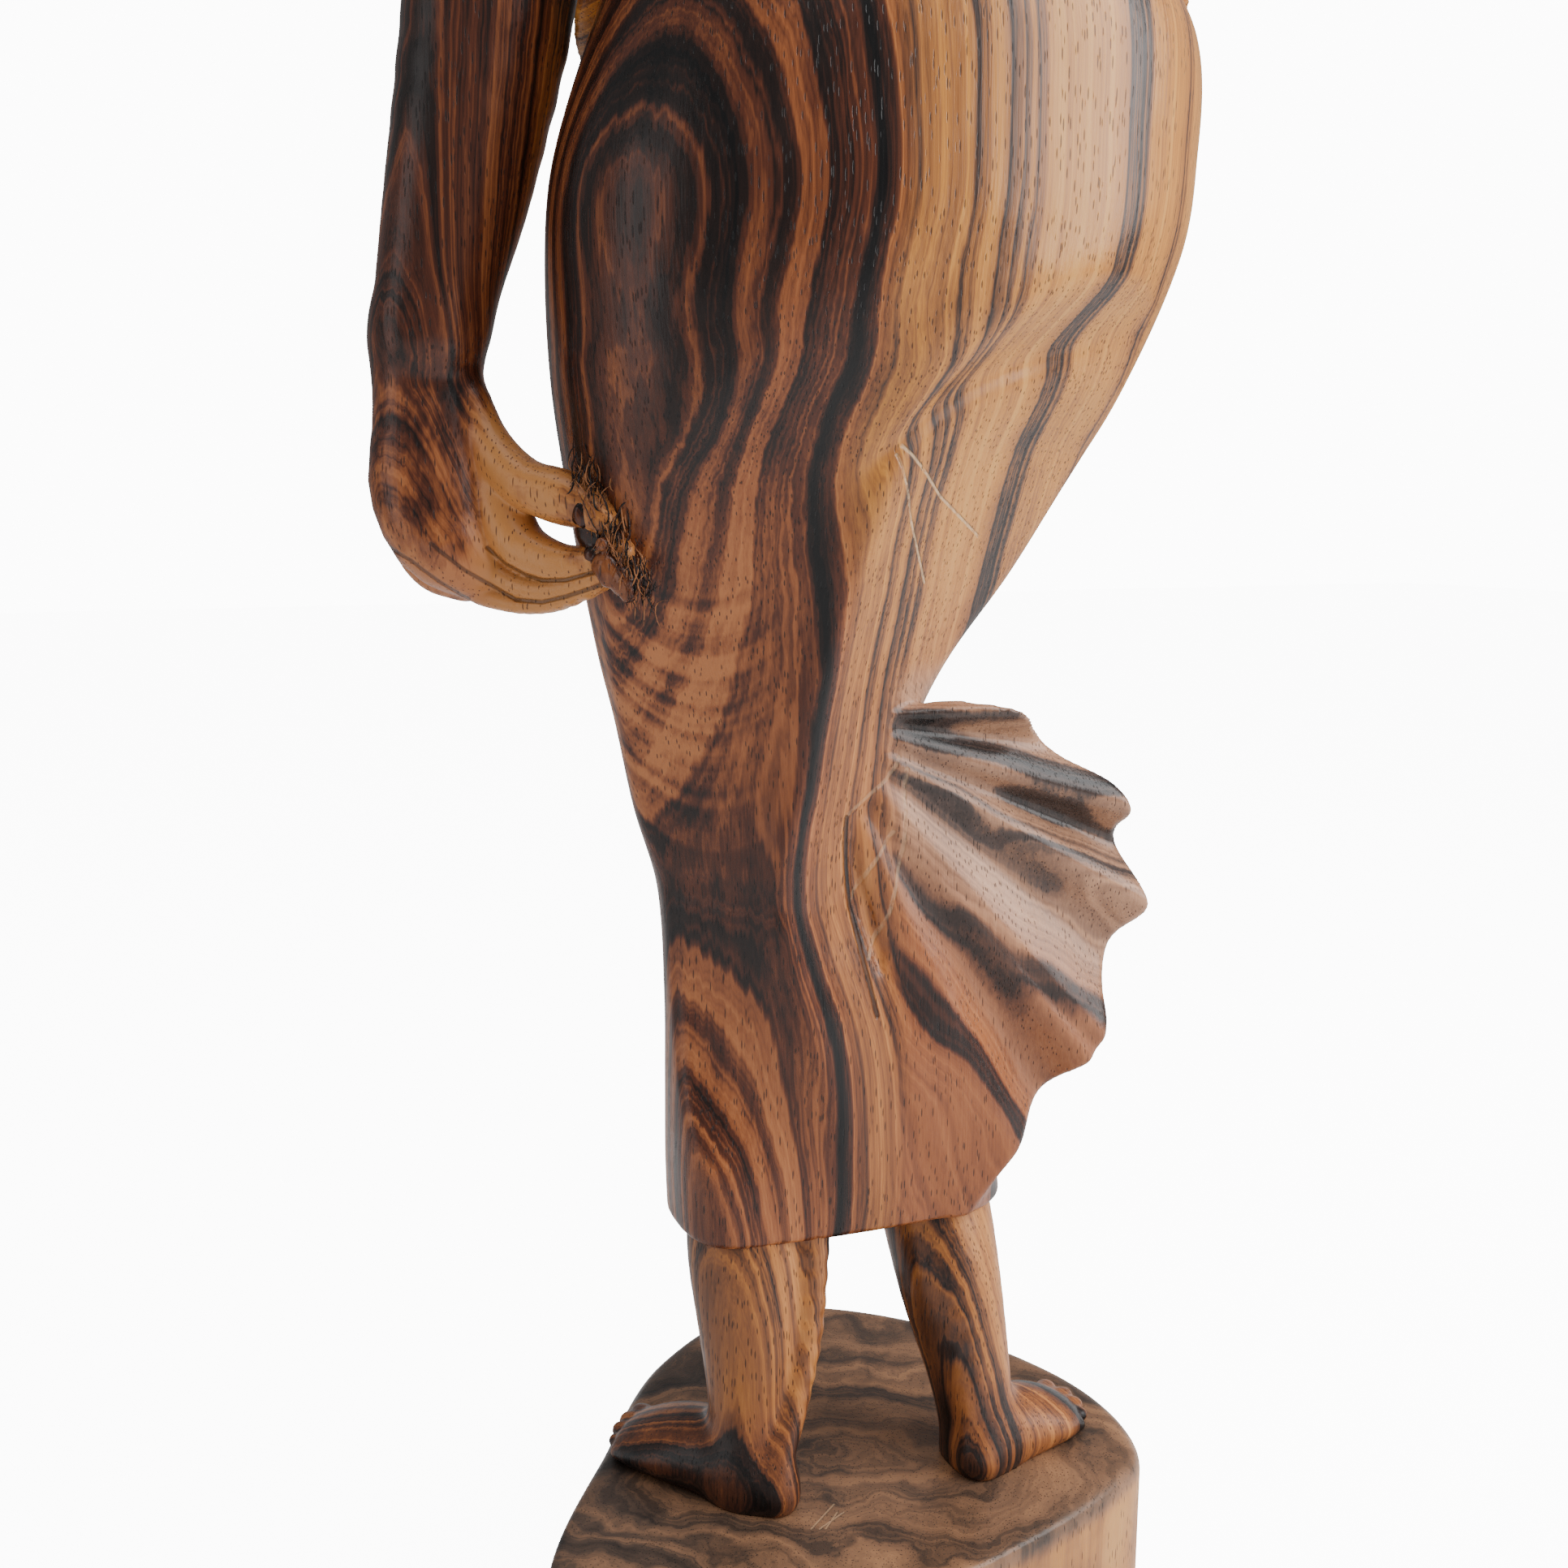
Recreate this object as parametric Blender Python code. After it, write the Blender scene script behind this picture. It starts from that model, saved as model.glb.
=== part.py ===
"""A carved hardwood statuette: a standing woman in a long tight sarong with a flared train.

Metres, +Z up. The figure faces -Y and its own left side is +X. The plinth rests on Z = 0.
Tables of sections are in millimetres: heights are above the plinth's top, and X and Y are
measured from the figure's own upright axis.
"""

import math

import bmesh
import bpy
from mathutils import Vector

MM = 0.001
GAP = 0.3 * MM              # the joint between two neighbouring pieces
PLINTH_HEIGHT = 30 * MM
PLINTH_EDGE = 2.5 * MM      # rounding of the plinth's top edge
PLINTH_EDGE_INSET = 0.022   # how far that rounding draws the outline in, as a share of its size
FIGURE_X = 4.5 * MM         # where the figure's axis stands on the plinth
FIGURE_Y = 1.5 * MM
JACKET_HEM = 224            # the jacket's hem at the figure's axis
JACKET_HEM_RISE = 0.35      # how far the hem climbs towards the back, per millimetre of depth
TRAIN_THICKNESS = 3.4 * MM

# The plinth's outline, as corners of a slice of a log, round which a smooth curve runs.
PLINTH_OUTLINE = [(-39, -31), (-13, -46), (12, -34), (30, -9), (43, 13), (48, 30), (38, 40), (13, 43),
                  (-15, 39.5), (-44, 31), (-57, 20), (-56, -3)]

# height, centre X, centre Y, half width, half depth, squareness (2 is an ellipse)
SARONG = [(42, -10, -2, 28, 16, 3), (52, -9, -1.8, 27.4, 16.4, 2.8), (64, -6.4, -1.5, 25, 16.6, 2.5),
          (80, -2.2, -1.5, 20.8, 16.5, 2.3), (97, 1.5, -1.8, 17.9, 16, 2.3), (110, 2.5, -2, 20.5, 17.8, 2.2),
          (124, 1.9, -2, 24, 20, 2.1), (133, 0.4, -2, 27.6, 22.5, 2.1), (145, -3.2, -1.5, 33.6, 25, 2.1),
          (157, -5.8, -0.5, 38.3, 28, 2.1), (174, -9.2, 1.5, 44.3, 32, 2.1),
          (192, -12.4, 3.5, 48.2, 34.5, 2.1), (204, -14.2, 3.5, 48.4, 35, 2.1),
          (222, -16.8, 4, 45, 33.3, 2.1), (235, -15.5, 3.2, 38.5, 28.3, 2.1),
          (243, -13.5, 2.2, 33.5, 24.5, 2.1)]

# The edge between the sarong's left side and its flat back: height, X, Y, slope of the back.
BACK_RIDGE = [(42, -6, 12.8, 0), (75, 0, 14.6, 0.1), (97, 5.8, 13.8, 0.22), (118, 3, 17.4, 0.4),
              (133, 1, 20.6, 0.5), (163, -5.5, 29, 0.33), (174, -7, 33.5, 0.1)]

JACKET = [(206, -14.6, 3.5, 50.2, 36.9, 2.1), (222, -16.8, 4, 47.3, 35.5, 2.1),
          (235, -15.3, 3.2, 41.4, 30.9, 2.1), (248, -12.2, 1.5, 33.5, 25, 2.1),
          (261, -9.5, 0, 28, 20.5, 2.1), (273, -7, -1, 29.5, 21, 2.1),
          (286, -4, -1.5, 33.5, 22, 2.2), (298, -2, -0.5, 35, 20, 2.3), (307, -0.8, 0.5, 33.5, 16.5, 2.3),
          (314, 0, 1.5, 25, 13, 2.2), (320, 0.6, 2, 14.5, 11, 2)]
BREASTS = [(-14.5, -15.5), (6.5, -15.5)]
BREAST_HEIGHT = 286
BREAST_RADIUS = 13.5

# Paths of limbs: X, Y, height, half width, half thickness.
LEFT_LEG = [(5.4, -2, 60, 9.2, 8.6), (5.8, -0.6, 50, 9.6, 8.8), (6.8, 2.2, 38, 10.3, 9.4),
            (7.4, 5.6, 26, 9, 9), (8.4, 9, 14, 6.8, 7), (9.2, 10.5, 5, 6.3, 6.8), (9.2, 10.5, -2, 6.3, 6.8)]
LEFT_FOOT = [(6.2, 16.5, 2.5, 3.5, 4.5), (9.2, 11, 3.5, 6, 7), (13.2, 4, 3.5, 7.3, 6),
             (17.8, -3.6, 2.5, 8, 4.2), (22.4, -9.8, 1.5, 6.6, 2.8)]
RIGHT_LEG = [(-22, -3, 60, 7.6, 8), (-25.4, -0.6, 50, 8.6, 8.6), (-27.4, 2.4, 40, 8.9, 8.8),
             (-28, 7.6, 27, 7.9, 8.4), (-28.6, 12.2, 14, 6.4, 7), (-29, 14.5, 5, 6, 6.8),
             (-29, 14.5, -2, 6, 6.8)]
RIGHT_FOOT = [(-26.2, 19.5, 2.5, 3.5, 4.5), (-30, 16.4, 3.5, 5.8, 7), (-35.4, 13.4, 3.5, 7, 6),
              (-41.4, 11.4, 2.5, 7.6, 4.2), (-46.4, 10, 1.5, 6.4, 2.8)]
LEFT_SLEEVE = [(29, 0.8, 301, 11.6, 12), (33, -1.6, 289, 12, 12), (35.6, -5, 272, 12, 12),
               (37.6, -8.6, 253, 13.2, 12.8)]
LEFT_SHOULDER = (28, 0.8, 301, 12.4, 12.2, 12.4)
LEFT_ARM = [(37, -7.6, 263, 10.2, 9.8), (38.2, -9.6, 248, 11, 10), (39.6, -11.6, 228, 11.6, 9.6),
            (44.6, -12.4, 203, 10, 8.2), (48.4, -11.8, 188, 8.2, 6.8), (50.2, -10.6, 179, 7.4, 6.2)]
LEFT_PALM = [(50.2, -10.6, 181, 7.4, 6.2), (51, -9.6, 170, 8.2, 7), (50.4, -8.2, 158, 9, 8.2),
             (47.4, -5.8, 149, 7.5, 7.6)]
LEFT_FINGERS = [(47.6, -5.6, 150, 4.6, 7.4), (41.8, -1, 145.8, 4.4, 6.6), (35.6, 3.4, 146.6, 4, 5.6),
                (29.6, 7.2, 149, 3.4, 4.6), (25, 9.4, 151, 3, 4)]
LEFT_THUMB = [(47, -9, 171, 4, 4.2), (42.4, -6, 166, 3.6, 3.8), (36.8, -1.4, 160.4, 3.6, 3.9),
              (30, 3.8, 156.4, 3.4, 3.8), (26, 5.6, 155, 3, 3)]
RIGHT_SLEEVE = [(-29.5, 0.8, 301, 11.6, 12), (-35.4, 1.4, 289, 12, 12), (-45.6, 3, 266, 12.6, 12.4)]
RIGHT_SHOULDER = (-28, 0.8, 301, 12.4, 12.2, 12.4)
RIGHT_ARM = [(-43, 2.6, 272, 9.6, 9.6), (-46.6, 3, 263, 10.4, 10.2), (-47.2, -2.5, 257.5, 10, 9.8),
             (-42.5, -11, 256.5, 9, 8.8), (-34, -18.6, 258, 7.4, 7), (-29, -21.6, 259.5, 6.6, 6)]
RIGHT_PALM = [(-30, -21, 259, 6.8, 5.8), (-22, -24.4, 261, 8, 4.6), (-14.5, -25.6, 262.5, 8.4, 4)]
RIGHT_FINGER_TIPS = [(2, -23.6, 267.5), (4, -23.4, 263.6), (3, -23.2, 259.8), (-0.5, -23, 256)]
RIGHT_KNUCKLES = [(-13, -26.2, 268.3), (-12, -26.4, 264.8), (-12, -26.2, 261.2), (-13.5, -25.6, 257.6)]
RIGHT_THUMB = [(-24, -23.8, 265, 3.4, 3.2), (-17.5, -25.4, 271, 3, 3), (-11, -24.8, 275, 2.6, 2.6)]
FINGER_RADIUS = 2.5
NECK = [(1, 2.6, 308, 8.6, 8.6), (1, 2, 320, 8.8, 9), (1, 0.4, 333, 8.4, 9), (1, -0.5, 340, 8.4, 9)]

# The head, as rounded masses: centre X, Y, height, then its three radii.
HEAD_MASSES = [(1, 1, 352, 16.2, 19.5, 18.8), (1, -7, 341, 12.6, 12, 13.5), (1, -13.5, 332.2, 6.2, 5.8, 5.4),
               (1, -19.6, 345.5, 2.1, 2.6, 5.6), (1, -21.4, 341.4, 3, 2.8, 2.3),
               (1, -18.6, 335.9, 4.4, 2.2, 1.6), (17.2, 2, 346, 2, 4, 6.6), (-15.2, 2, 346, 2, 4, 6.6)]
HAIR_MASS = (1, 4.4, 355.4, 18.2, 19.6, 18)
BUN_MASS = (1, 29, 352, 13.2, 10.5, 12.2)
GLUE_MASS = (30.6, 6.6, 153, 3.6, 3.8, 4.2)

# The flared train: a pleated sheet spread from one point inside the sarong.
TRAIN_APEX = (0, 125)       # X, height
TRAIN_ROOT_Y = 8.5
TRAIN_RIM_Y = 11.5
# degrees below the horizontal, distance from the apex to the rim
TRAIN_RIM = [(-3, 23), (1, 32), (11, 46), (17, 56.5), (22, 58), (29, 65.5), (36, 67.5), (48, 75),
             (58, 78), (68, 83)]
TRAIN_INNER = 12
TRAIN_FOLDS = 5
TRAIN_FOLD_DEPTH = 2.4

# for each fused body: the size in millimetres of its skin's cells, and the share of its faces kept
SKIN = {"leg": (1.1, 0.1), "jacket": (1.3, 0.045), "sleeve": (1.0, 0.07), "left_arm": (0.9, 0.07),
        "right_arm": (0.9, 0.08), "head": (0.8, 0.06)}
SHARP_ANGLE = 50            # degrees: edges sharper than this are drawn as edges

COLOURS = {
    "plinth": (0.19, 0.10, 0.06), "left_leg": (0.24, 0.12, 0.06), "right_leg": (0.30, 0.15, 0.07),
    "sarong": (0.20, 0.09, 0.05), "sarong_train": (0.32, 0.15, 0.08), "jacket": (0.17, 0.08, 0.045),
    "left_sleeve": (0.16, 0.07, 0.04), "right_sleeve": (0.28, 0.15, 0.08), "left_arm": (0.20, 0.08, 0.035),
    "right_arm": (0.28, 0.14, 0.07), "head": (0.26, 0.13, 0.07), "hair": (0.06, 0.035, 0.03),
    "hair_bun": (0.05, 0.03, 0.025), "glue_bead": (0.10, 0.06, 0.035),
}
ROUGHNESS = {"plinth": 0.4, "hair": 0.45, "hair_bun": 0.45, "glue_bead": 0.3}
WOOD_ROUGHNESS = 0.35


def clear_scene():
    for obj in list(bpy.data.objects):
        bpy.data.objects.remove(obj, do_unlink=True)


def at_figure(x, y, height):
    """A point given from the figure's axis and the plinth's top, in scene metres."""
    return Vector((x * MM + FIGURE_X, y * MM + FIGURE_Y, height * MM + PLINTH_HEIGHT))


def slope_at(rows, k, column):
    """The slope of one column at row k, across the rows on both sides of it."""
    low = rows[max(k - 1, 0)]
    high = rows[min(k + 1, len(rows) - 1)]
    return (high[column] - low[column]) / (high[0] - low[0])


def interpolate(rows, where):
    """The row at this first value, by cubic Hermite steps between the named rows."""
    last = len(rows) - 1
    where = min(max(where, rows[0][0]), rows[last][0])
    i = max(k for k in range(last) if rows[k][0] <= where)
    span = rows[i + 1][0] - rows[i][0]
    t = (where - rows[i][0]) / span
    result = [where]
    for column in range(1, len(rows[0])):
        start = rows[i][column]
        end = rows[i + 1][column]
        start_slope = span * slope_at(rows, i, column)
        end_slope = span * slope_at(rows, i + 1, column)
        result.append((2 * t ** 3 - 3 * t ** 2 + 1) * start + (3 * t ** 2 - 2 * t ** 3) * end
                      + (t ** 3 - 2 * t ** 2 + t) * start_slope + (t ** 3 - t ** 2) * end_slope)
    return result


def superellipse(angle, half_width, half_depth, squareness):
    c = math.cos(angle)
    s = math.sin(angle)
    reach = (abs(c) ** squareness + abs(s) ** squareness) ** (-1 / squareness)
    return half_width * c * reach, half_depth * s * reach


def material_of(name):
    made = bpy.data.materials.new(name)
    made.use_nodes = True
    shader = made.node_tree.nodes["Principled BSDF"]
    shader.inputs["Base Color"].default_value = (*COLOURS[name], 1)
    shader.inputs["Roughness"].default_value = ROUGHNESS.get(name, WOOD_ROUGHNESS)
    shader.inputs["Metallic"].default_value = 0
    made.diffuse_color = (*COLOURS[name], 1)
    return made


def new_object(name, bm):
    bmesh.ops.recalc_face_normals(bm, faces=bm.faces)
    mesh = bpy.data.meshes.new(name)
    bm.to_mesh(mesh)
    bm.free()
    mesh.shade_smooth()
    mesh.set_sharp_from_angle(angle=math.radians(SHARP_ANGLE))
    obj = bpy.data.objects.new(name, mesh)
    bpy.context.scene.collection.objects.link(obj)
    return obj


def hide_helper(obj):
    obj.hide_render = True
    obj.display_type = "WIRE"
    return obj


def skin_rings(bm, rings):
    """Quads between successive closed rings, with a flat cap on each end."""
    verts = [[bm.verts.new(point) for point in ring] for ring in rings]
    count = len(rings[0])
    for low, high in zip(verts, verts[1:]):
        for i in range(count):
            j = (i + 1) % count
            bm.faces.new((low[i], low[j], high[j], high[i]))
    bm.faces.new(verts[0][::-1])
    bm.faces.new(verts[-1])


def upright_loft(bm, table, ring_count, points, adjust=None):
    """A body of horizontal sections between the first and last heights of its table."""
    low = table[0][0]
    high = table[-1][0]
    rings = []
    for k in range(ring_count):
        height, cx, cy, half_width, half_depth, squareness = interpolate(
            table, low + (high - low) * k / (ring_count - 1))
        ring = []
        for i in range(points):
            dx, dy = superellipse(2 * math.pi * i / points, half_width, half_depth, squareness)
            x = cx + dx
            y = cy + dy
            if adjust:
                y = adjust(x, y, height)
            ring.append(at_figure(x, y, height))
        rings.append(ring)
    skin_rings(bm, rings)


def limb(bm, path, steps, points):
    """A tube of elliptical sections along a path, square to it at each point."""
    rows = [(k, *row) for k, row in enumerate(path)]
    samples = [interpolate(rows, (len(path) - 1) * k / steps)[1:] for k in range(steps + 1)]
    centres = [at_figure(*row[:3]) for row in samples]
    rings = []
    for k, centre in enumerate(centres):
        ahead = centres[min(k + 1, steps)]
        behind = centres[max(k - 1, 0)]
        along = (ahead - behind).normalized()
        flat = Vector((0, 0, 1)) if abs(along.z) < 0.75 else Vector((0, -1, 0))
        across = along.cross(flat).normalized()
        up = across.cross(along)
        half_width, half_thickness = samples[k][3:]
        rings.append([centre + across * math.cos(a) * half_width * MM + up * math.sin(a) * half_thickness * MM
                      for a in (2 * math.pi * i / points for i in range(points))])
    skin_rings(bm, rings)


def ball(bm, mass, segments=20):
    x, y, height, *radii = mass
    made = bmesh.ops.create_uvsphere(bm, u_segments=segments, v_segments=segments // 2, radius=1)
    bmesh.ops.scale(bm, vec=[r * MM for r in radii], verts=made["verts"])
    bmesh.ops.translate(bm, vec=at_figure(x, y, height), verts=made["verts"])


def apply_modifiers(obj):
    graph = bpy.context.evaluated_depsgraph_get()
    mesh = bpy.data.meshes.new_from_object(obj.evaluated_get(graph))
    obj.modifiers.clear()
    obj.data = mesh
    obj.data.name = obj.name


def fuse(obj, kind):
    """Joins overlapping masses into one smooth skin, then thins its faces."""
    voxel, keep = SKIN[kind]
    remesh = obj.modifiers.new("one_skin", "REMESH")
    remesh.mode = "VOXEL"
    remesh.voxel_size = voxel * MM
    smooth = obj.modifiers.new("soften", "SMOOTH")
    smooth.iterations = 3
    smooth.factor = 0.5
    thin = obj.modifiers.new("thin", "DECIMATE")
    thin.ratio = keep
    apply_modifiers(obj)


def grown_copy(obj, distance=GAP):
    """A hidden copy whose skin stands off by the joint's gap, to cut a neighbour with."""
    bm = bmesh.new()
    bm.from_mesh(obj.data)
    bm.normal_update()
    shifts = [(v, v.normal * distance) for v in bm.verts]
    for v, shift in shifts:
        v.co += shift
    return hide_helper(new_object(f"{obj.name}_cutter", bm))


def cut(obj, cutter):
    boolean = obj.modifiers.new(f"cut_{cutter.name}", "BOOLEAN")
    boolean.operation = "DIFFERENCE"
    boolean.solver = "EXACT"
    boolean.object = cutter
    apply_modifiers(obj)


def fit_round(obj, *neighbours):
    for neighbour in neighbours:
        cut(obj, grown_copy(neighbour))


def box_cutter(name, low, high):
    """A hidden box between two heights above the plinth's top, wider than the figure."""
    bm = bmesh.new()
    bmesh.ops.create_cube(bm, size=1)
    bmesh.ops.scale(bm, vec=(0.3, 0.3, (high - low) * MM), verts=bm.verts)
    bmesh.ops.translate(bm, vec=(0, 0, PLINTH_HEIGHT + (low + high) / 2 * MM), verts=bm.verts)
    return hide_helper(new_object(name, bm))


def flat_back(x, y, height):
    """Planes the rounded sarong flat from its back ridge to the right."""
    if height > BACK_RIDGE[-1][0]:
        return y
    _, ridge_x, ridge_y, slope = interpolate(BACK_RIDGE, height)
    return min(y, ridge_y + slope * (x - ridge_x)) if x < ridge_x and y > 0 else y


def make_plinth():
    points = 48
    outline = [(k, *p) for k, p in enumerate(PLINTH_OUTLINE[-2:] + PLINTH_OUTLINE + PLINTH_OUTLINE[:3])]
    first = 2
    turn = len(PLINTH_OUTLINE)
    ring = [interpolate(outline, first + turn * i / points)[1:] for i in range(points)]
    centre = Vector((FIGURE_X, FIGURE_Y, 0))
    rings = []
    for height, inset in ((0, 1), (1 * MM, 0), (PLINTH_HEIGHT - PLINTH_EDGE, 0),
                          (PLINTH_HEIGHT - 0.3 * PLINTH_EDGE, 0.3), (PLINTH_HEIGHT, 1)):
        share = 1 - PLINTH_EDGE_INSET * inset
        rings.append([centre + Vector((x * MM * share, y * MM * share, height)) for x, y in ring])
    bm = bmesh.new()
    skin_rings(bm, rings)
    return new_object("plinth", bm)


def make_leg(name, leg, foot):
    bm = bmesh.new()
    limb(bm, leg, 14, 18)
    limb(bm, foot, 10, 14)
    obj = new_object(name, bm)
    fuse(obj, "leg")
    cut(obj, box_cutter(f"{name}_sole", -20, GAP / MM))
    return obj


def make_sarong(legs):
    bm = bmesh.new()
    upright_loft(bm, SARONG, 28, 36, flat_back)
    obj = new_object("sarong", bm)
    fit_round(obj, *legs)
    return obj


def train_point(degrees, share):
    rim = interpolate(TRAIN_RIM, degrees)[1]
    reach = TRAIN_INNER + (rim - TRAIN_INNER) * share
    a = math.radians(degrees)
    span = TRAIN_RIM[-1][0] - TRAIN_RIM[0][0]
    wave = math.cos(2 * math.pi * TRAIN_FOLDS * (degrees - TRAIN_RIM[0][0]) / span)
    y = TRAIN_ROOT_Y + (TRAIN_RIM_Y - TRAIN_ROOT_Y) * share - TRAIN_FOLD_DEPTH * wave * share ** 1.5
    return at_figure(TRAIN_APEX[0] - reach * math.cos(a), y, TRAIN_APEX[1] - reach * math.sin(a))


def make_train(sarong, right_leg):
    rays = 30
    steps = 6
    low = TRAIN_RIM[0][0]
    high = TRAIN_RIM[-1][0]
    bm = bmesh.new()
    grid = [[bm.verts.new(train_point(low + (high - low) * i / rays, j / steps)) for j in range(steps + 1)]
            for i in range(rays + 1)]
    for a, b in zip(grid, grid[1:]):
        for j in range(steps):
            bm.faces.new((a[j], a[j + 1], b[j + 1], b[j]))
    obj = new_object("sarong_train", bm)
    wall = obj.modifiers.new("wall", "SOLIDIFY")
    wall.thickness = TRAIN_THICKNESS
    wall.offset = 0
    apply_modifiers(obj)
    fit_round(obj, sarong, right_leg)
    return obj


def make_jacket(sarong):
    bm = bmesh.new()
    upright_loft(bm, JACKET, 40, 48)
    for x, y in BREASTS:
        ball(bm, (x, y, BREAST_HEIGHT, BREAST_RADIUS, BREAST_RADIUS * 0.8, BREAST_RADIUS))
    obj = new_object("jacket", bm)
    fuse(obj, "jacket")
    bm = bmesh.new()
    bmesh.ops.create_cube(bm, size=0.3)
    bmesh.ops.translate(bm, vec=(0, 0, -0.15), verts=bm.verts)
    hem = hide_helper(new_object("jacket_hem_cutter", bm))
    hem.rotation_euler.x = math.atan(JACKET_HEM_RISE)
    hem.location = at_figure(0, 0, JACKET_HEM)
    cut(obj, hem)
    fit_round(obj, sarong)
    return obj


def make_sleeve(name, path, shoulder, jacket, arm):
    bm = bmesh.new()
    limb(bm, path, 10, 24)
    ball(bm, shoulder)
    obj = new_object(name, bm)
    fuse(obj, "sleeve")
    fit_round(obj, jacket, arm)
    return obj


def make_left_arm(sarong):
    bm = bmesh.new()
    for path in (LEFT_ARM, LEFT_PALM, LEFT_FINGERS, LEFT_THUMB):
        limb(bm, path, 12, 14)
    obj = new_object("left_arm", bm)
    fuse(obj, "left_arm")
    fit_round(obj, sarong)
    return obj


def make_right_arm(jacket):
    bm = bmesh.new()
    for path in (RIGHT_ARM, RIGHT_PALM, RIGHT_THUMB):
        limb(bm, path, 12, 14)
    for start, end in zip(RIGHT_KNUCKLES, RIGHT_FINGER_TIPS):
        finger = [(*start, FINGER_RADIUS, FINGER_RADIUS), (*end, FINGER_RADIUS * 0.8, FINGER_RADIUS * 0.8)]
        limb(bm, finger, 4, 10)
    obj = new_object("right_arm", bm)
    fuse(obj, "right_arm")
    fit_round(obj, jacket)
    return obj


def make_head():
    bm = bmesh.new()
    limb(bm, NECK, 8, 20)
    for mass in HEAD_MASSES:
        ball(bm, mass)
    obj = new_object("head", bm)
    fuse(obj, "head")
    return obj


def make_hair(head):
    """A cap over the crown and the back of the head; the hairline is where it dives under the face."""
    bm = bmesh.new()
    ball(bm, HAIR_MASS, 20)
    obj = new_object("hair", bm)
    fit_round(obj, head)
    return obj


def make_bun(head, hair):
    bm = bmesh.new()
    ball(bm, BUN_MASS, 18)
    obj = new_object("hair_bun", bm)
    fit_round(obj, head, hair)
    return obj


def make_glue_bead(sarong, left_arm):
    """Old glue, set hard between the thumb, the fingers and the thigh."""
    bm = bmesh.new()
    ball(bm, GLUE_MASS, 10)
    obj = new_object("glue_bead", bm)
    fit_round(obj, sarong, left_arm)
    return obj


def main():
    clear_scene()
    pieces = [make_plinth()]
    legs = [make_leg("left_leg", LEFT_LEG, LEFT_FOOT), make_leg("right_leg", RIGHT_LEG, RIGHT_FOOT)]
    sarong = make_sarong(legs)
    train = make_train(sarong, legs[1])
    head = make_head()
    hair = make_hair(head)
    jacket = make_jacket(sarong)
    fit_round(jacket, head)
    left_arm = make_left_arm(sarong)
    right_arm = make_right_arm(jacket)
    sleeves = [make_sleeve("left_sleeve", LEFT_SLEEVE, LEFT_SHOULDER, jacket, left_arm),
               make_sleeve("right_sleeve", RIGHT_SLEEVE, RIGHT_SHOULDER, jacket, right_arm)]
    pieces += [*legs, sarong, train, jacket, *sleeves, left_arm, right_arm, head, hair,
               make_bun(head, hair), make_glue_bead(sarong, left_arm)]
    for piece in pieces:
        piece.data.materials.clear()
        piece.data.materials.append(material_of(piece.name))


main()
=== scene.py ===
"""A carved, varnished rosewood figure of a standing woman, finished for close viewing.

Shapes are given in millimetres from the figure's upright axis: X, Y and the height above the plinth's top.
They are carved as distance fields in a block of sampled space, skinned, and placed in the shared frame in
metres.
"""

import math
import random

import bpy
import numpy as np
from mathutils import Matrix, Vector


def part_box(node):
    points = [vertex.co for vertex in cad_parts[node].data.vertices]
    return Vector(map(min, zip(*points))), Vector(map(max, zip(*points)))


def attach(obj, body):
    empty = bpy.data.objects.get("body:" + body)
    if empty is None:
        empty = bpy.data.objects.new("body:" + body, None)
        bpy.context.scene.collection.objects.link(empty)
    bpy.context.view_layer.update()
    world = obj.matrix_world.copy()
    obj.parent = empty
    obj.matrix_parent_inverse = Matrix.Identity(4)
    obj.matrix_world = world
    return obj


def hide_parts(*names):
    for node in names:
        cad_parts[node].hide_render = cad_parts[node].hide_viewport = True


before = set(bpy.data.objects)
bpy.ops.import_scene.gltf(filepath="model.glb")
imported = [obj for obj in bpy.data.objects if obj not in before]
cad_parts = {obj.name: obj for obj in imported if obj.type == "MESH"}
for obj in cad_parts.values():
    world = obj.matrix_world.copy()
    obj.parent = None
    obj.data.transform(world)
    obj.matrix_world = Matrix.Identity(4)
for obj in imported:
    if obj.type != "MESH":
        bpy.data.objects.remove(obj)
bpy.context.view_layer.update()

MM = 0.001
PLINTH_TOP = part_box("plinth")[1].z
FIGURE_X = 4.5 * MM
FIGURE_Y = 1.5 * MM
PLINTH_DEPTH = PLINTH_TOP / MM
LEVEL_RIGHT = (-0.927, 0.375)       # X and Y of a step to the right, as seen from the camera
FAR = 30.0                          # the field's value away from every shape
CURVE_SAMPLES = 600

# ---------------------------------------------------------------- tables of the figure

PLINTH_OUTLINE = [(-39, -31), (-13, -46), (12, -34), (30, -9), (43, 13), (48, 30), (38, 40), (13, 43),
                  (-15, 39.5), (-44, 31), (-57, 20), (-56, -3)]
# height, centre X, centre Y, half width, half depth, squareness
SARONG = [(42, -10, -2, 28, 16, 3), (52, -9, -1.8, 27.4, 16.4, 2.8), (64, -6.4, -1.5, 25, 16.6, 2.5),
          (80, -2.2, -1.5, 20.8, 16.5, 2.3), (97, 1.5, -1.8, 17.9, 16, 2.3), (110, 2.5, -2, 20.5, 17.8, 2.2),
          (124, 1.9, -2, 24, 20, 2.1), (133, 0.4, -2, 27.6, 22.5, 2.1), (145, -3.2, -1.5, 33.6, 25, 2.1),
          (157, -5.8, -0.5, 38.3, 28, 2.1), (174, -9.2, 1.5, 44.3, 32, 2.1),
          (192, -12.4, 3.5, 48.2, 34.5, 2.1), (204, -14.2, 3.5, 48.4, 35, 2.1),
          (222, -16.8, 4, 45, 33.3, 2.1), (235, -15.5, 3.2, 38.5, 28.3, 2.1),
          (243, -13.5, 2.2, 33.5, 24.5, 2.1)]
HEM = 42
SARONG_TOP = 240
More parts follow.
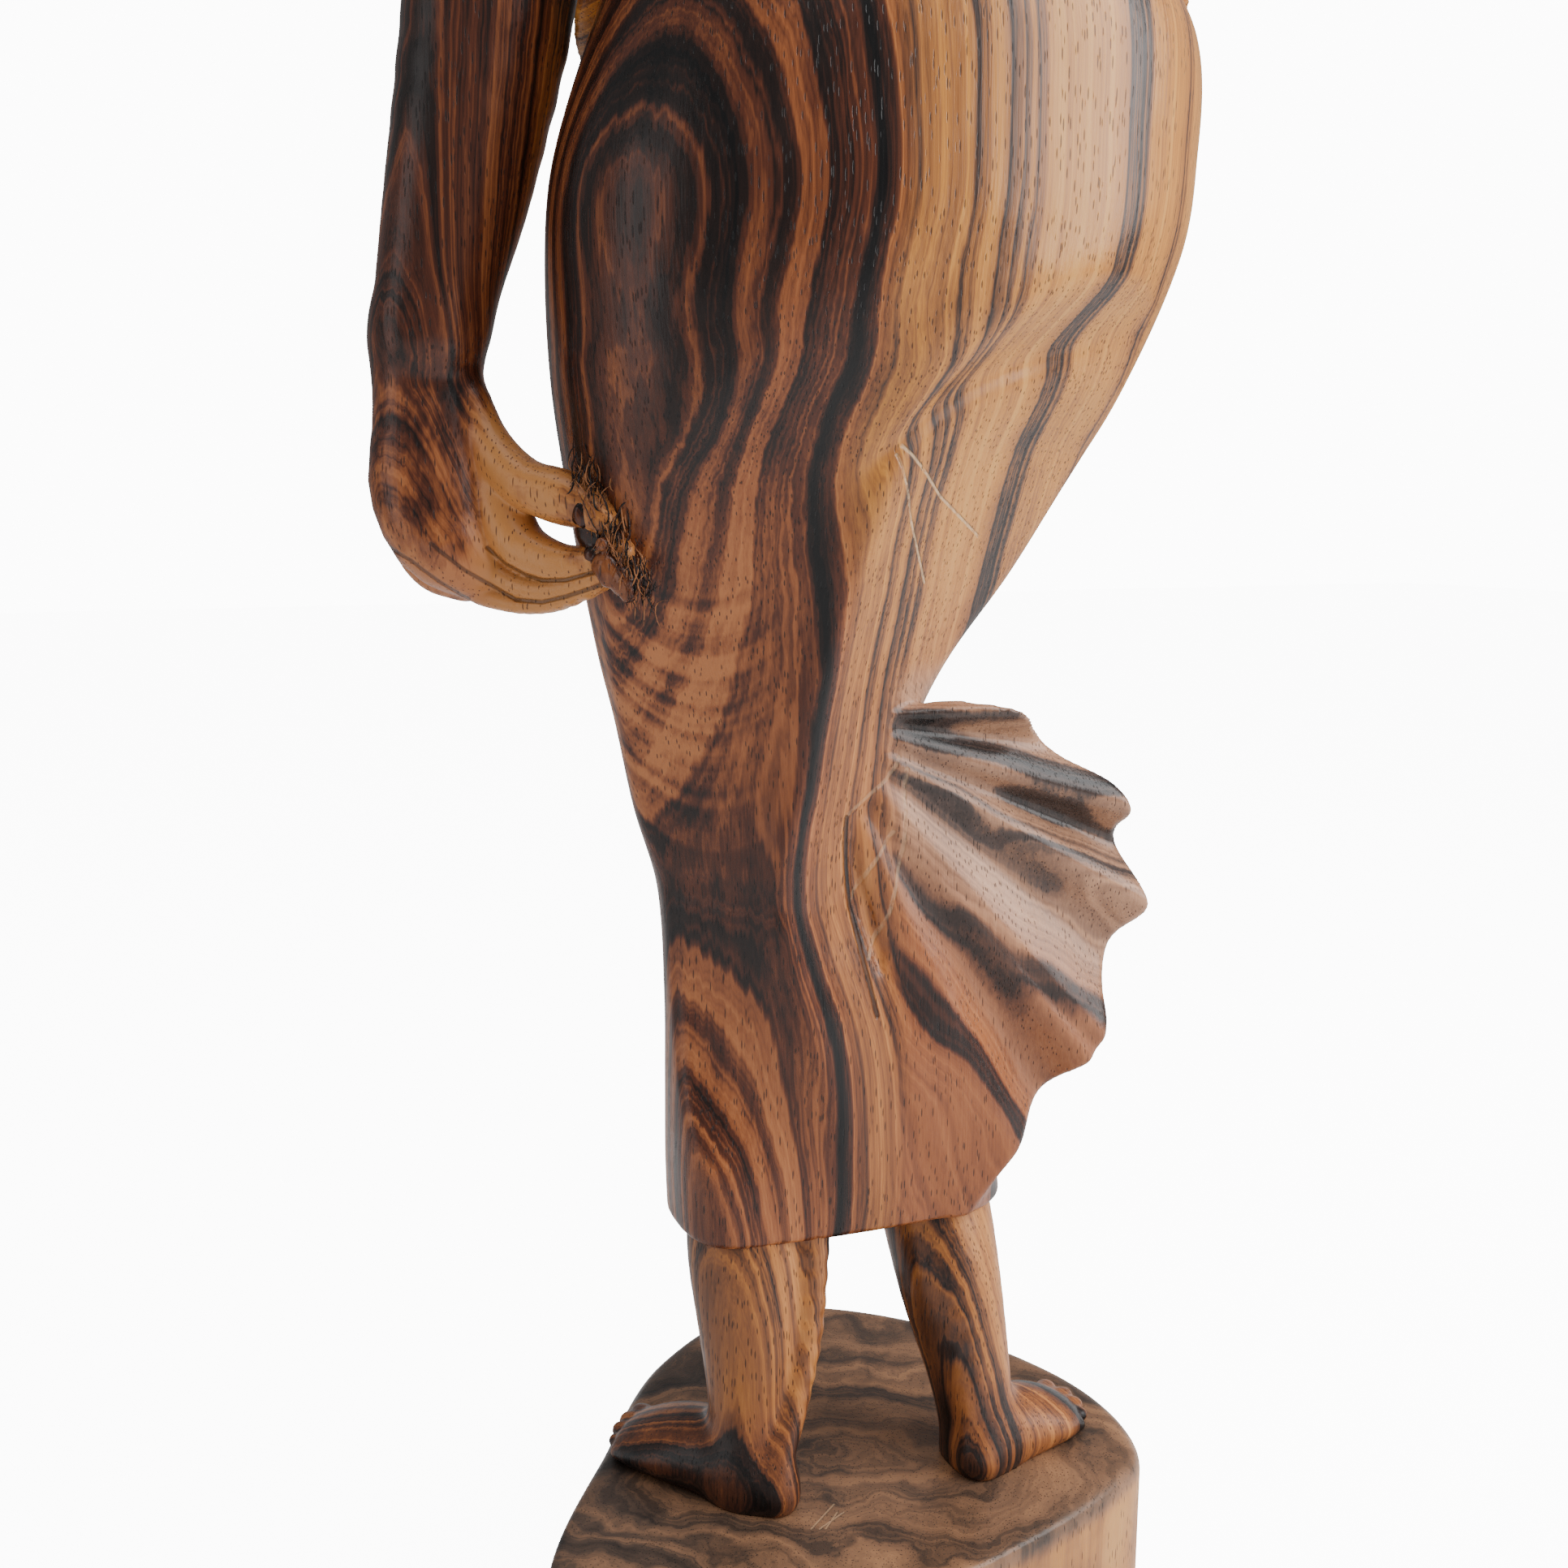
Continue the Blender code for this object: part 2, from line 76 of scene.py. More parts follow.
# the ridge between the left side and the flat back: height, X, Y, slope of the back, slope of the left side
BACK_RIDGE = [(42, -8, 12.6, 0, -0.1), (56, -5.5, 13.8, 0.04, -0.3), (75, 0, 14.6, 0.1, -0.75),
              (97, 5.8, 13.8, 0.22, -1.15), (118, 3, 17.4, 0.4, -0.9), (133, 1, 20.6, 0.5, -0.7),
              (163, -5.5, 28.2, 0.42, -0.3), (174, -9, 31.4, 0.32, -0.2), (190, -12, 35, 0.25, -0.2)]
FOLD = [(-44, 181.4), (-21.7, 174.7), (-12.2, 170.1), (-5.2, 164.2), (2, 158)]   # X, height of the valley
FOLD_STRENGTH = [(-44, 0), (-24, 0.8), (-12, 1), (-5.2, 0.8), (0, 0)]
# scratches cut across the fold, as points X, height
CUTS = [[(-5.5, 162.6), (-9.9, 154), (-15.3, 144.9)], [(-6.2, 163.9), (-14.8, 157.3), (-25.1, 151.5)]]

# the notch carved where the pleats of the train leave the back, as corners X, height
PLEAT_NOTCH = [(-18.5, 118), (-11.4, 84), (-6.6, 95.5), (-5.6, 110)]
PLEAT_SLIVER = [(-16.5, 116), (-8.6, 93), (-7.4, 96), (-13.2, 114.5)]

# painted highlight along the knife-cut edges round the pleats, and painted shade in the gap beside them, as
# points X, height
PLEAT_EDGES = [[(-5, 110.1), (-12.3, 115.1), (-14.3, 118.3)], [(-6.3, 96.3), (-9.3, 101.3), (-13.4, 106.8)],
               [(-9.2, 87.4), (-12.6, 94.1), (-15.1, 103.8), (-15.4, 116.4)]]
PLEAT_GAP = [(-4.9, 109.8), (-5.1, 104.6), (-6.2, 95.8), (-8.3, 86.6), (-10.1, 78.3)]
# scratches on the plinth's top beside the left heel, as points X, Y
CHISEL_MARKS = [[(3.1, 22.5), (-2, 20.2)], [(2.2, 22.8), (-1.1, 19.8)], [(4.3, 22), (-1.4, 17.8)]]

TRAIN_APEX = (0, 125)
TRAIN_ROOT_Y = 8.5
TRAIN_RIM_Y = 11.5
# degrees below the horizontal, distance from the apex to the rim
TRAIN_RIM = [(-6, 20), (-3, 26), (0, 33), (5, 38), (11, 45), (13.7, 53), (17.8, 57.4), (21, 58.3),
             (28, 65.5), (30, 67.5), (35, 67.9), (42, 70.7), (46, 74.6), (49.6, 76.1), (54, 76.6), (58.7, 78),
             (63.7, 80.7), (66.7, 82.3), (74, 86)]
# degrees below the horizontal, how far the sheet swings towards the back there
TRAIN_WAVE = [(-6, -1), (0.5, 1), (9, -1), (17, 1), (23.3, -1), (29.5, 1), (37, -1), (47, 0.9), (49, 0.75),
              (51, 0.9), (57, -0.9), (64.7, 0.8), (74, -0.6)]
TRAIN_WAVE_DEPTH = 2.9

JACKET = [(206, -14.6, 3.5, 50.2, 36.9, 2.1), (222, -16.8, 4, 47.3, 35.5, 2.1),
          (235, -15.3, 3.2, 41.4, 30.9, 2.1), (248, -12.2, 1.5, 33.5, 25, 2.1), (261, -9.5, 0, 28, 20.5, 2.1),
          (273, -7, -1, 29.5, 21, 2.1),
          (286, -4, -1.5, 33.5, 22, 2.2), (298, -2, -0.5, 35, 20, 2.3), (307, -0.8, 0.5, 33.5, 16.5, 2.3),
          (314, 0, 1.5, 25, 13, 2.2), (320, 0.6, 2, 14.5, 11, 2)]
JACKET_HEM = 224
JACKET_HEM_RISE = 0.35
OPENING_X = 0.4
LAPEL_FOOT = 289

# paths of limbs: X, Y, height, half width, half thickness
LEFT_LEG = [(5.4, -2, 60, 9.2, 8.6), (5.8, -0.6, 50, 9.6, 8.8), (6.6, 2.0, 38, 9.9, 9.2),
            (7.6, 4.6, 26, 8, 8.4), (9, 7.0, 14, 5.9, 6.6), (9.8, 8.4, 5, 5.6, 6.2), (9.8, 8.4, -3, 6, 6.4)]
LEFT_ACHILLES = [(-1.6, 8.6, 50, 2.4, 2.4), (-1.2, 9.2, 40.7, 2.5, 2.5), (0.3, 10.7, 26.4, 2.3, 2.3),
                 (3.6, 12.6, 14.8, 2.1, 2.1), (6.5, 14.3, 8.3, 2.2, 2.2), (7.1, 15.2, 2.5, 3, 3)]
LEFT_FOOT = [(7.6, 14, 2.2, 3.4, 3.6), (9.6, 9.6, 3.5, 5.4, 6.6), (13.2, 3.6, 4, 7, 6.4),
             (17.8, -3.6, 3.2, 8.2, 4.8), (22, -9.4, 1.8, 7.2, 3)]
LEFT_TOES = [(20.4, -15.8), (22.9, -14.6), (25, -12.6), (26.6, -9.9), (27.4, -7)]
RIGHT_LEG = [(-22, -3, 60, 7.6, 8), (-24.6, -0.6, 50, 8.4, 8.6), (-26.4, 2.4, 40, 8.8, 8.8),
             (-27.2, 7.4, 27, 8, 8.4), (-28.4, 12, 14, 6.3, 6.8), (-29, 13.6, 5, 5.4, 6),
             (-29, 13.6, -3, 5.4, 6)]
RIGHT_ACHILLES = [(-24, 5.6, 50, 2.6, 2.6), (-24.8, 9, 38.1, 2.6, 2.6), (-25.3, 12.6, 28.2, 2.4, 2.4),
                  (-26, 16.2, 15.5, 2.2, 2.2), (-26.3, 18.4, 6.6, 2.2, 2.2), (-26.8, 19.2, 2.2, 2.9, 2.9)]
RIGHT_FOOT = [(-27, 17.8, 2.2, 3, 3.4), (-30.3, 15.8, 3.5, 5.2, 6.4), (-35.4, 13.4, 3.5, 6.6, 5.8),
              (-41.4, 11.4, 2.8, 7.4, 4.2), (-46, 10.2, 1.6, 6.4, 2.8)]
RIGHT_TOES = [(-48.6, 4), (-50.4, 7), (-50.8, 10), (-50.2, 12.8), (-48.4, 15.4)]
SOLE = -0.15
LEFT_SLEEVE = [(29, 0.8, 301, 11.6, 12), (33, -1.6, 289, 12, 12), (35.6, -5, 272, 12, 12),
               (37.6, -8.6, 253, 13.2, 12.8)]
LEFT_SHOULDER = (28, 0.8, 301, 12.4, 12.2, 12.4)
RIGHT_SLEEVE = [(-29.5, 0.8, 301, 11.6, 12), (-35.4, 1.4, 289, 12, 12), (-45.6, 3, 266, 12.6, 12.4)]
RIGHT_SHOULDER = (-28, 0.8, 301, 12.4, 12.2, 12.4)
LEFT_ARM = [(37, -7.6, 263, 10.2, 9.8), (38.2, -9.6, 248, 11, 10), (39.6, -11.6, 228, 11.6, 9.6),
            (44.6, -12.4, 203, 10, 8.2), (48.4, -11.8, 188, 8.2, 6.8), (50.2, -10.6, 179, 7.4, 6.2)]
LEFT_PALM = [(50.6, -12, 181, 7.2, 6), (51, -13.1, 178.2, 7.2, 6), (50.3, -12.8, 172.5, 7.6, 6.2),
             (49.9, -12.1, 166.7, 8.4, 6.6), (49.9, -11.5, 159.8, 9.4, 6.8), (49.1, -10.7, 154.5, 9, 6.6),
             (47.2, -9.6, 150, 7.6, 6), (44.6, -8, 147, 5, 4.8)]
LEFT_FINGERS = [
    [(42.5, -8, 163.2, 3.6, 3.8), (42.1, -6.2, 157.2, 3.8, 3.8), (41.1, -4.2, 153, 3.8, 3.7),
     (39.6, -2, 150.1, 3.5, 3.4), (36.7, 1.9, 148.2, 2.9, 2.9), (34.4, 4.4, 147.8, 2.5, 2.4),
     (31.8, 7.1, 148.4, 2.2, 2), (28.5, 11.1, 149.7, 1.8, 1.7)],
    [(47.1, -10, 153.9, 3.2, 3.2), (44.1, -7.4, 148.3, 2.6, 2.3), (41.9, -4.8, 145.7, 2.5, 1.9),
     (39.5, -1.8, 144.4, 2.4, 1.8), (37.1, 1, 144, 2.3, 1.6), (34.6, 4, 144.4, 2.1, 1.35),
     (31.9, 7.3, 145.6, 1.9, 1.15), (29, 10.9, 147, 1.7, 1)],
    [(50.2, -13, 150.6, 3, 3), (47.4, -10.4, 146.3, 2.6, 2.1), (44.9, -7.9, 143.7, 2.4, 1.8),
     (42.5, -5.2, 142.5, 2.2, 1.4), (40, -2.2, 141.8, 2.1, 1.15), (37.2, 0.8, 141.8, 2, 1.0),
     (34.6, 3.8, 142.7, 1.9, 0.95), (30.5, 8.2, 145, 1.7, 0.9)],
    [(53.3, -16.2, 150.1, 2.6, 2.6), (50.8, -14.2, 145.8, 2.3, 2), (47.8, -11.9, 144.2, 2, 1.6),
     (45.8, -10.3, 143.4, 1.6, 1.2)]]
LEFT_THUMB = [(47.5, -11.4, 176.5, 3, 3.2), (45.3, -9.1, 171.2, 2.8, 3), (43.6, -6.8, 165.8, 2.9, 3),
              (41.7, -3.9, 161.9, 3.1, 3.2), (38.9, -0.1, 158.7, 3.5, 3.4), (35.4, 3.5, 157.2, 3.6, 3.7),
              (32.7, 6.7, 155.8, 3.0, 3.1), (30.8, 9.7, 153.9, 2.2, 2.2)]
# painted shade in the creases between the fingers, as points X, Y, height
FINGER_SEAMS = [
    [(42.9, -7.1, 150), (41, -4.7, 147.7), (38.9, -1.7, 146.2), (37.1, 0.6, 145.5), (34.6, 3.8, 145.6),
     (31.9, 7.1, 146.6), (29.2, 10.3, 147.8)],
    [(49, -12.2, 150.6), (45.3, -9.7, 146.9), (42.6, -7, 144.6), (40.1, -3.3, 142.6), (37.1, 0.1, 142.4),
     (34.5, 3.3, 143.3), (31.8, 6.6, 144.5), (29.1, 9.8, 145.8)],
    [(53.9, -17.5, 149.9), (51.4, -15.4, 148.2), (48.1, -13, 145.1), (45.2, -10.7, 142.6)]]
RIGHT_ARM = [(-43, 2.6, 272, 9.6, 9.6), (-46.6, 3, 263, 10.4, 10.2), (-47.2, -2.5, 257.5, 10, 9.8),
             (-42.5, -11, 256.5, 9, 8.8), (-34, -18.6, 258, 7.4, 7), (-29, -21.6, 259.5, 6.6, 6)]
RIGHT_PALM = [(-30, -21, 259, 6.8, 5.8), (-22, -24.4, 261, 8, 4.6), (-14.5, -25.6, 262.5, 8.4, 4)]
RIGHT_KNUCKLES = [(-13, -26.2, 268.3), (-12, -26.4, 264.8), (-12, -26.2, 261.2), (-13.5, -25.6, 257.6)]
RIGHT_FINGER_TIPS = [(2, -23.6, 267.5), (4, -23.4, 263.6), (3, -23.2, 259.8), (-0.5, -23, 256)]
RIGHT_THUMB = [(-24, -23.8, 265, 3.4, 3.2), (-17.5, -25.4, 271, 3, 3), (-11, -24.8, 275, 2.6, 2.6)]
NECK = [(1, 2.6, 308, 8.6, 8.6), (1, 2, 320, 8.8, 9), (1, 0.4, 333, 8.4, 9), (1, -0.5, 340, 8.4, 9)]
HEAD_X = 1.0
HAIR_MASS = (HEAD_X, 4.4, 355.4, 18.2, 19.6, 18)
BUN_MASS = (HEAD_X, 29, 352, 13.2, 10.5, 12.2)
GLUE_MASS = (30.6, 6.6, 153, 3.6, 3.8, 4.2)


# ---------------------------------------------------------------- carving toolkit

def interpolate(rows, where):
    """The row at this first value, by cubic Hermite steps between the named rows."""
    last = len(rows) - 1
    where = min(max(where, rows[0][0]), rows[last][0])
    i = max(k for k in range(last) if rows[k][0] <= where)
    span = rows[i + 1][0] - rows[i][0]
    t = (where - rows[i][0]) / span
    result = [where]
    for column in range(1, len(rows[0])):
        slopes = []
        for k in (i, i + 1):
            low = rows[max(k - 1, 0)]
            high = rows[min(k + 1, last)]
            slopes.append((high[column] - low[column]) / (high[0] - low[0]))
        ease = 3 * t ** 2 - 2 * t ** 3
        between = (1 - ease) * rows[i][column] + ease * rows[i + 1][column]
        bend = (t ** 3 - 2 * t ** 2 + t) * slopes[0] + (t ** 3 - t ** 2) * slopes[1]
        result.append(between + span * bend)
    return result


def along(rows, values):
    """The rows interpolated at many values, one array for each column after the first."""
    flat = np.ravel(values)
    found = np.array([interpolate(rows, float(v))[1:] for v in flat])
    return [found[:, c].reshape(np.shape(values)) for c in range(found.shape[1])]


def smooth_curve(rows, values):
    """A table of two columns read off at an array of any size, through a fine sampling of it."""
    fine = np.linspace(rows[0][0], rows[-1][0], CURVE_SAMPLES)
    return np.interp(values, fine, along(rows, fine)[0])


def soft_min(a, b, k):
    """The nearer of two shapes, rounded where they meet."""
    k = np.maximum(k, 1e-6)
    share = np.maximum(k - np.abs(a - b), 0) / k
    return np.minimum(a, b) - share * share * k / 4


def soft_max(a, b, k):
    return -soft_min(-a, -b, k)


def smooth_step(low, high, value):
    t = np.clip((value - low) / (high - low), 0, 1)
    return t * t * (3 - 2 * t)


def bump(value, width):
    return np.exp(-(value / width) ** 2)


class Block:
    """A block of sampled space that holds the distance to the carved surface."""

    def __init__(self, low, high, step):
        self.low = np.array(low, float)
        self.step = step
        counts = np.ceil((np.array(high, float) - self.low) / step).astype(int) + 1
        self.axes = [self.low[i] + step * np.arange(counts[i]) for i in range(3)]
        self.field = np.full(counts, FAR, np.float32)

    def window(self, low=None, high=None):
        """The slices and the coordinates of a part of the block, or of all of it."""
        slices = []
        for i, axis in enumerate(self.axes):
            start = 0 if low is None else int(np.searchsorted(axis, low[i]))
            stop = len(axis) if high is None else int(np.searchsorted(axis, high[i]))
            slices.append(slice(max(start - 1, 0), max(stop + 1, 1)))
        x, y, h = (axis[s] for axis, s in zip(self.axes, slices))
        return tuple(slices), x[:, None, None], y[None, :, None], h[None, None, :]

    def add(self, shape, blend=0.0, low=None, high=None):
        part, x, y, h = self.window(low, high)
        self.field[part] = soft_min(self.field[part], shape(x, y, h), blend)

    def keep(self, shape, blend=0.0, low=None, high=None):
        """Keeps what is inside the shape."""
        part, x, y, h = self.window(low, high)
        self.field[part] = soft_max(self.field[part], shape(x, y, h), blend)

    def remove(self, shape, blend=0.0, low=None, high=None):
        self.keep(lambda x, y, h: -shape(x, y, h), blend, low, high)

    def shift(self, amount, low=None, high=None):
        """Moves the skin outwards by an amount that changes from place to place."""
        part, x, y, h = self.window(low, high)
        self.field[part] -= amount(x, y, h).astype(np.float32)

    def ball(self, mass, blend=0.0, carve=False):
        centre = np.array(mass[:3], float)
        radii = np.array(mass[3:], float)
        pad = radii + blend + 2
        act = self.remove if carve else self.add
        act(lambda x, y, h: ball_field(x, y, h, centre, radii), blend, centre - pad, centre + pad)

    def limb(self, path, blend=0.0, joints=0.0, samples=14, carve=False):
        """A limb made of short tapering lengths, which run together softly, joined to what is there."""
        rows = [(k, *row) for k, row in enumerate(path)]
        points = np.array([interpolate(rows, (len(path) - 1) * k / samples)[1:] for k in range(samples + 1)])
        reach = points[:, 3:].max() + blend + 2
        low = points[:, :3].min(axis=0) - reach
        high = points[:, :3].max(axis=0) + reach
        part, x, y, h = self.window(low, high)
        made = np.full(self.field[part].shape, FAR, np.float32)
        for a, b in zip(points, points[1:]):
            made = soft_min(made, length_field(x, y, h, a, b), joints)
        if carve:
            self.field[part] = soft_max(self.field[part], -made, blend)
        else:
            self.field[part] = soft_min(self.field[part], made, blend)


def ball_field(x, y, h, centre, radii):
    dx = x - centre[0]
    dy = y - centre[1]
    dh = h - centre[2]
    outer = np.sqrt((dx / radii[0]) ** 2 + (dy / radii[1]) ** 2 + (dh / radii[2]) ** 2)
    inner = np.sqrt((dx / radii[0] ** 2) ** 2 + (dy / radii[1] ** 2) ** 2 + (dh / radii[2] ** 2) ** 2)
    return outer * (outer - 1) / np.maximum(inner, 1e-4)


def length_field(x, y, h, a, b):
    """One straight length with an elliptical section that tapers from row a to row b."""
    axis = b[:3] - a[:3]
    size = max(np.linalg.norm(axis), 1e-6)
    axis = axis / size
    flat = np.array((0, 0, 1.0)) if abs(axis[2]) < 0.75 else np.array((0, -1.0, 0))
    across = np.cross(axis, flat)
    across /= np.linalg.norm(across)
    up = np.cross(across, axis)
    dx = x - a[0]
    dy = y - a[1]
    dh = h - a[2]
    forward = dx * axis[0] + dy * axis[1] + dh * axis[2]
    share = np.clip(forward / size, 0, 1)
    beyond = forward - share * size
    wide = a[3] + (b[3] - a[3]) * share
    thick = a[4] + (b[4] - a[4]) * share
    cap = np.minimum(wide, thick)
    side = dx * across[0] + dy * across[1] + dh * across[2]
    rise = dx * up[0] + dy * up[1] + dh * up[2]
    outer = np.sqrt((side / wide) ** 2 + (rise / thick) ** 2 + (beyond / cap) ** 2)
    inner = np.sqrt((side / wide ** 2) ** 2 + (rise / thick ** 2) ** 2 + (beyond / cap ** 2) ** 2)
    return outer * (outer - 1) / np.maximum(inner, 1e-4)


def section_field(table, x, y, h):
    """Distance from an upright body given by a table of super-elliptical sections."""
    cx, cy, wide, deep, power = along(table, h)
    dx = np.abs(x - cx) / wide
    dy = np.abs(y - cy) / deep
    ratio = np.maximum((dx ** power + dy ** power) ** (1 / power), 1e-3)
    reach = np.sqrt((x - cx) ** 2 + (y - cy) ** 2)
    return np.where(ratio > 0.05, reach * (1 - 1 / ratio), -np.minimum(wide, deep))


def read_field(block, points):
    """The field and its slope at scattered points, by trilinear interpolation."""
    place = (points - block.low) / block.step
    base = np.clip(np.floor(place).astype(int), 0, np.array(block.field.shape) - 2)
    part = np.clip(place - base, 0, 1)
    value = np.zeros(len(points))
    slope = np.zeros((len(points), 3))
    for corner in np.ndindex(2, 2, 2):
        at = base + corner
        f = block.field[at[:, 0], at[:, 1], at[:, 2]].astype(float)
        weights = [part[:, i] if corner[i] else 1 - part[:, i] for i in range(3)]
        value += f * weights[0] * weights[1] * weights[2]
        for i in range(3):
            others = [weights[j] for j in range(3) if j != i]
            slope[:, i] += f * (1 if corner[i] else -1) * others[0] * others[1] / block.step
    return value, slope


def skin(block):
    """Vertices and quads of the field's zero surface: one vertex in each crossed cell, drawn onto it."""
    inside = block.field < 0
    cells = np.array(inside.shape) - 1
    total = np.zeros(cells, np.int8)
    for corner in np.ndindex(2, 2, 2):
        total += inside[tuple(slice(corner[i], corner[i] + cells[i]) for i in range(3))]
    crossed = np.argwhere((total > 0) & (total < 8))
    number = np.full(cells, -1, np.int64)
    number[tuple(crossed.T)] = np.arange(len(crossed))
    place = np.zeros((len(crossed), 3))
    hits = np.zeros(len(crossed))
    for axis in range(3):
        for side in np.ndindex(2, 2):
            start = np.insert(np.array(side), axis, 0)
            end = np.insert(np.array(side), axis, 1)
            a = block.field[tuple((crossed + start).T)].astype(float)
            b = block.field[tuple((crossed + end).T)].astype(float)
            cross = (a < 0) != (b < 0)
            share = np.where(cross, a / np.where(cross, a - b, 1), 0)
            for i in range(3):
                along_edge = share if i == axis else start[i]
                place[:, i] += np.where(cross, along_edge, 0)
            hits += cross
    points = block.low + (crossed + place / hits[:, None]) * block.step
    quads = []
    for axis in range(3):
        b, c = (axis + 1) % 3, (axis + 2) % 3
        first = inside.take(range(inside.shape[axis] - 1), axis)
        second = inside.take(range(1, inside.shape[axis]), axis)
        for rising in (True, False):
            edges = np.argwhere((first & ~second) if rising else (~first & second))
            edges = edges[(edges[:, b] > 0) & (edges[:, c] > 0)
                          & (edges[:, b] < cells[b]) & (edges[:, c] < cells[c])]
            ring = []
            for db, dc in ((1, 1), (0, 1), (0, 0), (1, 0)):
                at = edges.copy()
                at[:, b] -= db
                at[:, c] -= dc
                ring.append(number[tuple(at.T)])
            quads.append(np.stack(ring if rising else ring[::-1], axis=1))
    faces = np.concatenate(quads)
    faces = faces[(faces >= 0).all(axis=1)]
    for _ in range(2):                  # each step draws the vertices nearer to the surface
        value, slope = read_field(block, points)
        size = np.maximum((slope ** 2).sum(axis=1), 0.05)
        points -= np.clip(value / size, -0.5, 0.5)[:, None] * slope
    return points, faces


def to_object(name, points, faces, material, nodes):
    """Millimetres about the figure's axis become one smooth mesh in the shared frame."""
    placed = points * MM + np.array((FIGURE_X, FIGURE_Y, PLINTH_TOP))
    mesh = bpy.data.meshes.new(name)
    mesh.vertices.add(len(placed))
    mesh.vertices.foreach_set("co", placed.astype(np.float32).ravel())
    sides = faces.shape[1]
    mesh.loops.add(faces.size)
    mesh.loops.foreach_set("vertex_index", faces.ravel().astype(np.int32))
    mesh.polygons.add(len(faces))
    mesh.polygons.foreach_set("loop_start", np.arange(0, faces.size, sides, dtype=np.int32))
    mesh.update(calc_edges=True)
    mesh.validate()
    mesh.shade_smooth()
    obj = bpy.data.objects.new(name, mesh)
    bpy.context.scene.collection.objects.link(obj)
    mesh.materials.append(material)
    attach(obj, "root")
    if nodes:
        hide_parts(*nodes)
    return obj


# ---------------------------------------------------------------- wood

# across the growth rings, X and Y
RING_NORMAL = (0.77, 0.64)
# how far the rings lean outwards at each height above the plinth's top
RING_BOW = [(-30, 20), (0, 20.5), (42, 20), (60, 18.8), (74, 17.4), (90, 15), (104, 13.2), (122, 12.6),
            (138, 10.8), (150, 8.2), (162, 5), (174, 2.2), (190, 0), (250, 0), (400, 0)]
# tone of the wood across the rings: 0 is ink, 1 is the palest
RING_TONE = [(-90, 0.80), (-56, 0.76), (-53, 0.50), (-51, 0.78), (-40, 0.76), (-37.5, 0.52), (-36, 0.80),
             (-22.8, 0.78), (-21.2, 0.40), (-19.4, 0.76), (-10.5, 0.74), (-8.6, 0.30), (-5.8, 0.28),
             (-4, 0.74), (4, 0.86), (8.0, 0.76), (9.2, 0.36), (10, 0.70), (10.8, 0.34), (11.6, 0.56),
             (12.6, 0.30), (13.6, 0.74), (14.7, 0.72), (15.6, 0.34), (16.3, 0.38), (17.4, 0.70),
             (20, 0.66), (22, 0.58), (23.4, 0.52), (24.4, 0.22), (25.2, 0.25), (26.0, 0.46), (27.3, 0.52),
             (28.0, 0.20), (28.6, 0.22), (29.3, 0.54), (30.2, 0.54), (30.8, 0.24), (31.5, 0.50),
             (32.4, 0.54), (33.2, 0.12), (34.0, 0.10), (34.7, 0.32), (35.4, 0.44), (36.4, 0.28), (38, 0.34),
             (40, 0.20)]
RING_FOLD = 36.5                    # past this one, the rings come round again
CALM_TONE = 0.42                    # the even tone that calmer wood draws towards
# how much lighter the heart of the wood is at each height above the plinth's top; the lift falls to nothing
# at the knee as painted shade in its crease
HEART_LIFT_AND_KNEE_SHADE = [(-30, 0.26), (0, 0.26), (40, 0.24), (62, 0.24), (80, 0.16), (89, 0.08), (96, 0), (101, 0.06),
              (108, 0.14), (116, 0.24), (128, 0.30), (145, 0.28), (158, 0.16), (172, 0.04), (190, 0),
              (400, 0)]
ARCS_TO_LEFT = 11.0                 # how far left of the axis the arcs on the lower thigh hang lowest
ARCS_SAG = -0.04
# fine lines along the rings: scale, offset into the noise, weight
RING_LINES = ((0.45, 31.7, 0.36), (1.3, 77.1, 0.60), (4.0, 13.3, 0.34))
PLINTH_LINES = ((0.5, 3.7, 0.3), (1.6, 7.1, 0.18), (4.2, 1.3, 0.12))
# tone of the train's wood by the angle below the horizontal about a point beside the thigh
TRAIN_CENTRE = (30, 142)            # X, height
TRAIN_TONE = [(4, 0.74), (16, 0.76), (20.4, 0.70), (22.3, 0.16), (25.4, 0.12), (26.8, 0.56), (29, 0.60),
              (30, 0.40), (31, 0.62), (32.4, 0.30), (33.4, 0.34), (34.4, 0.68), (40, 0.74), (43, 0.62),
              (44.4, 0.28), (46.2, 0.66), (50, 0.74), (53, 0.56), (54.4, 0.24), (56, 0.26), (58, 0.62),
              (64, 0.66), (80, 0.62)]
# tone of the plinth's end grain by the distance round the pith
PLINTH_TONE = [(-20, 0.5), (0, 0.52), (3, 0.44), (6, 0.58), (9, 0.42), (12, 0.52), (16, 0.58), (19, 0.38),
               (22, 0.50), (26, 0.60), (30, 0.40), (34, 0.56), (40, 0.36), (44, 0.54), (52, 0.42),
               (60, 0.6), (70, 0.44), (90, 0.56)]
PITH = (-9, 9)                      # X, Y


def srgb(red, green, blue):
    """A screen colour of 0 to 255 as the linear colour that shaders take."""
    linear = []
    for value in (red, green, blue):
        c = value / 255
        linear.append(c / 12.92 if c <= 0.04045 else ((c + 0.055) / 1.055) ** 2.4)
    return (*linear, 1)


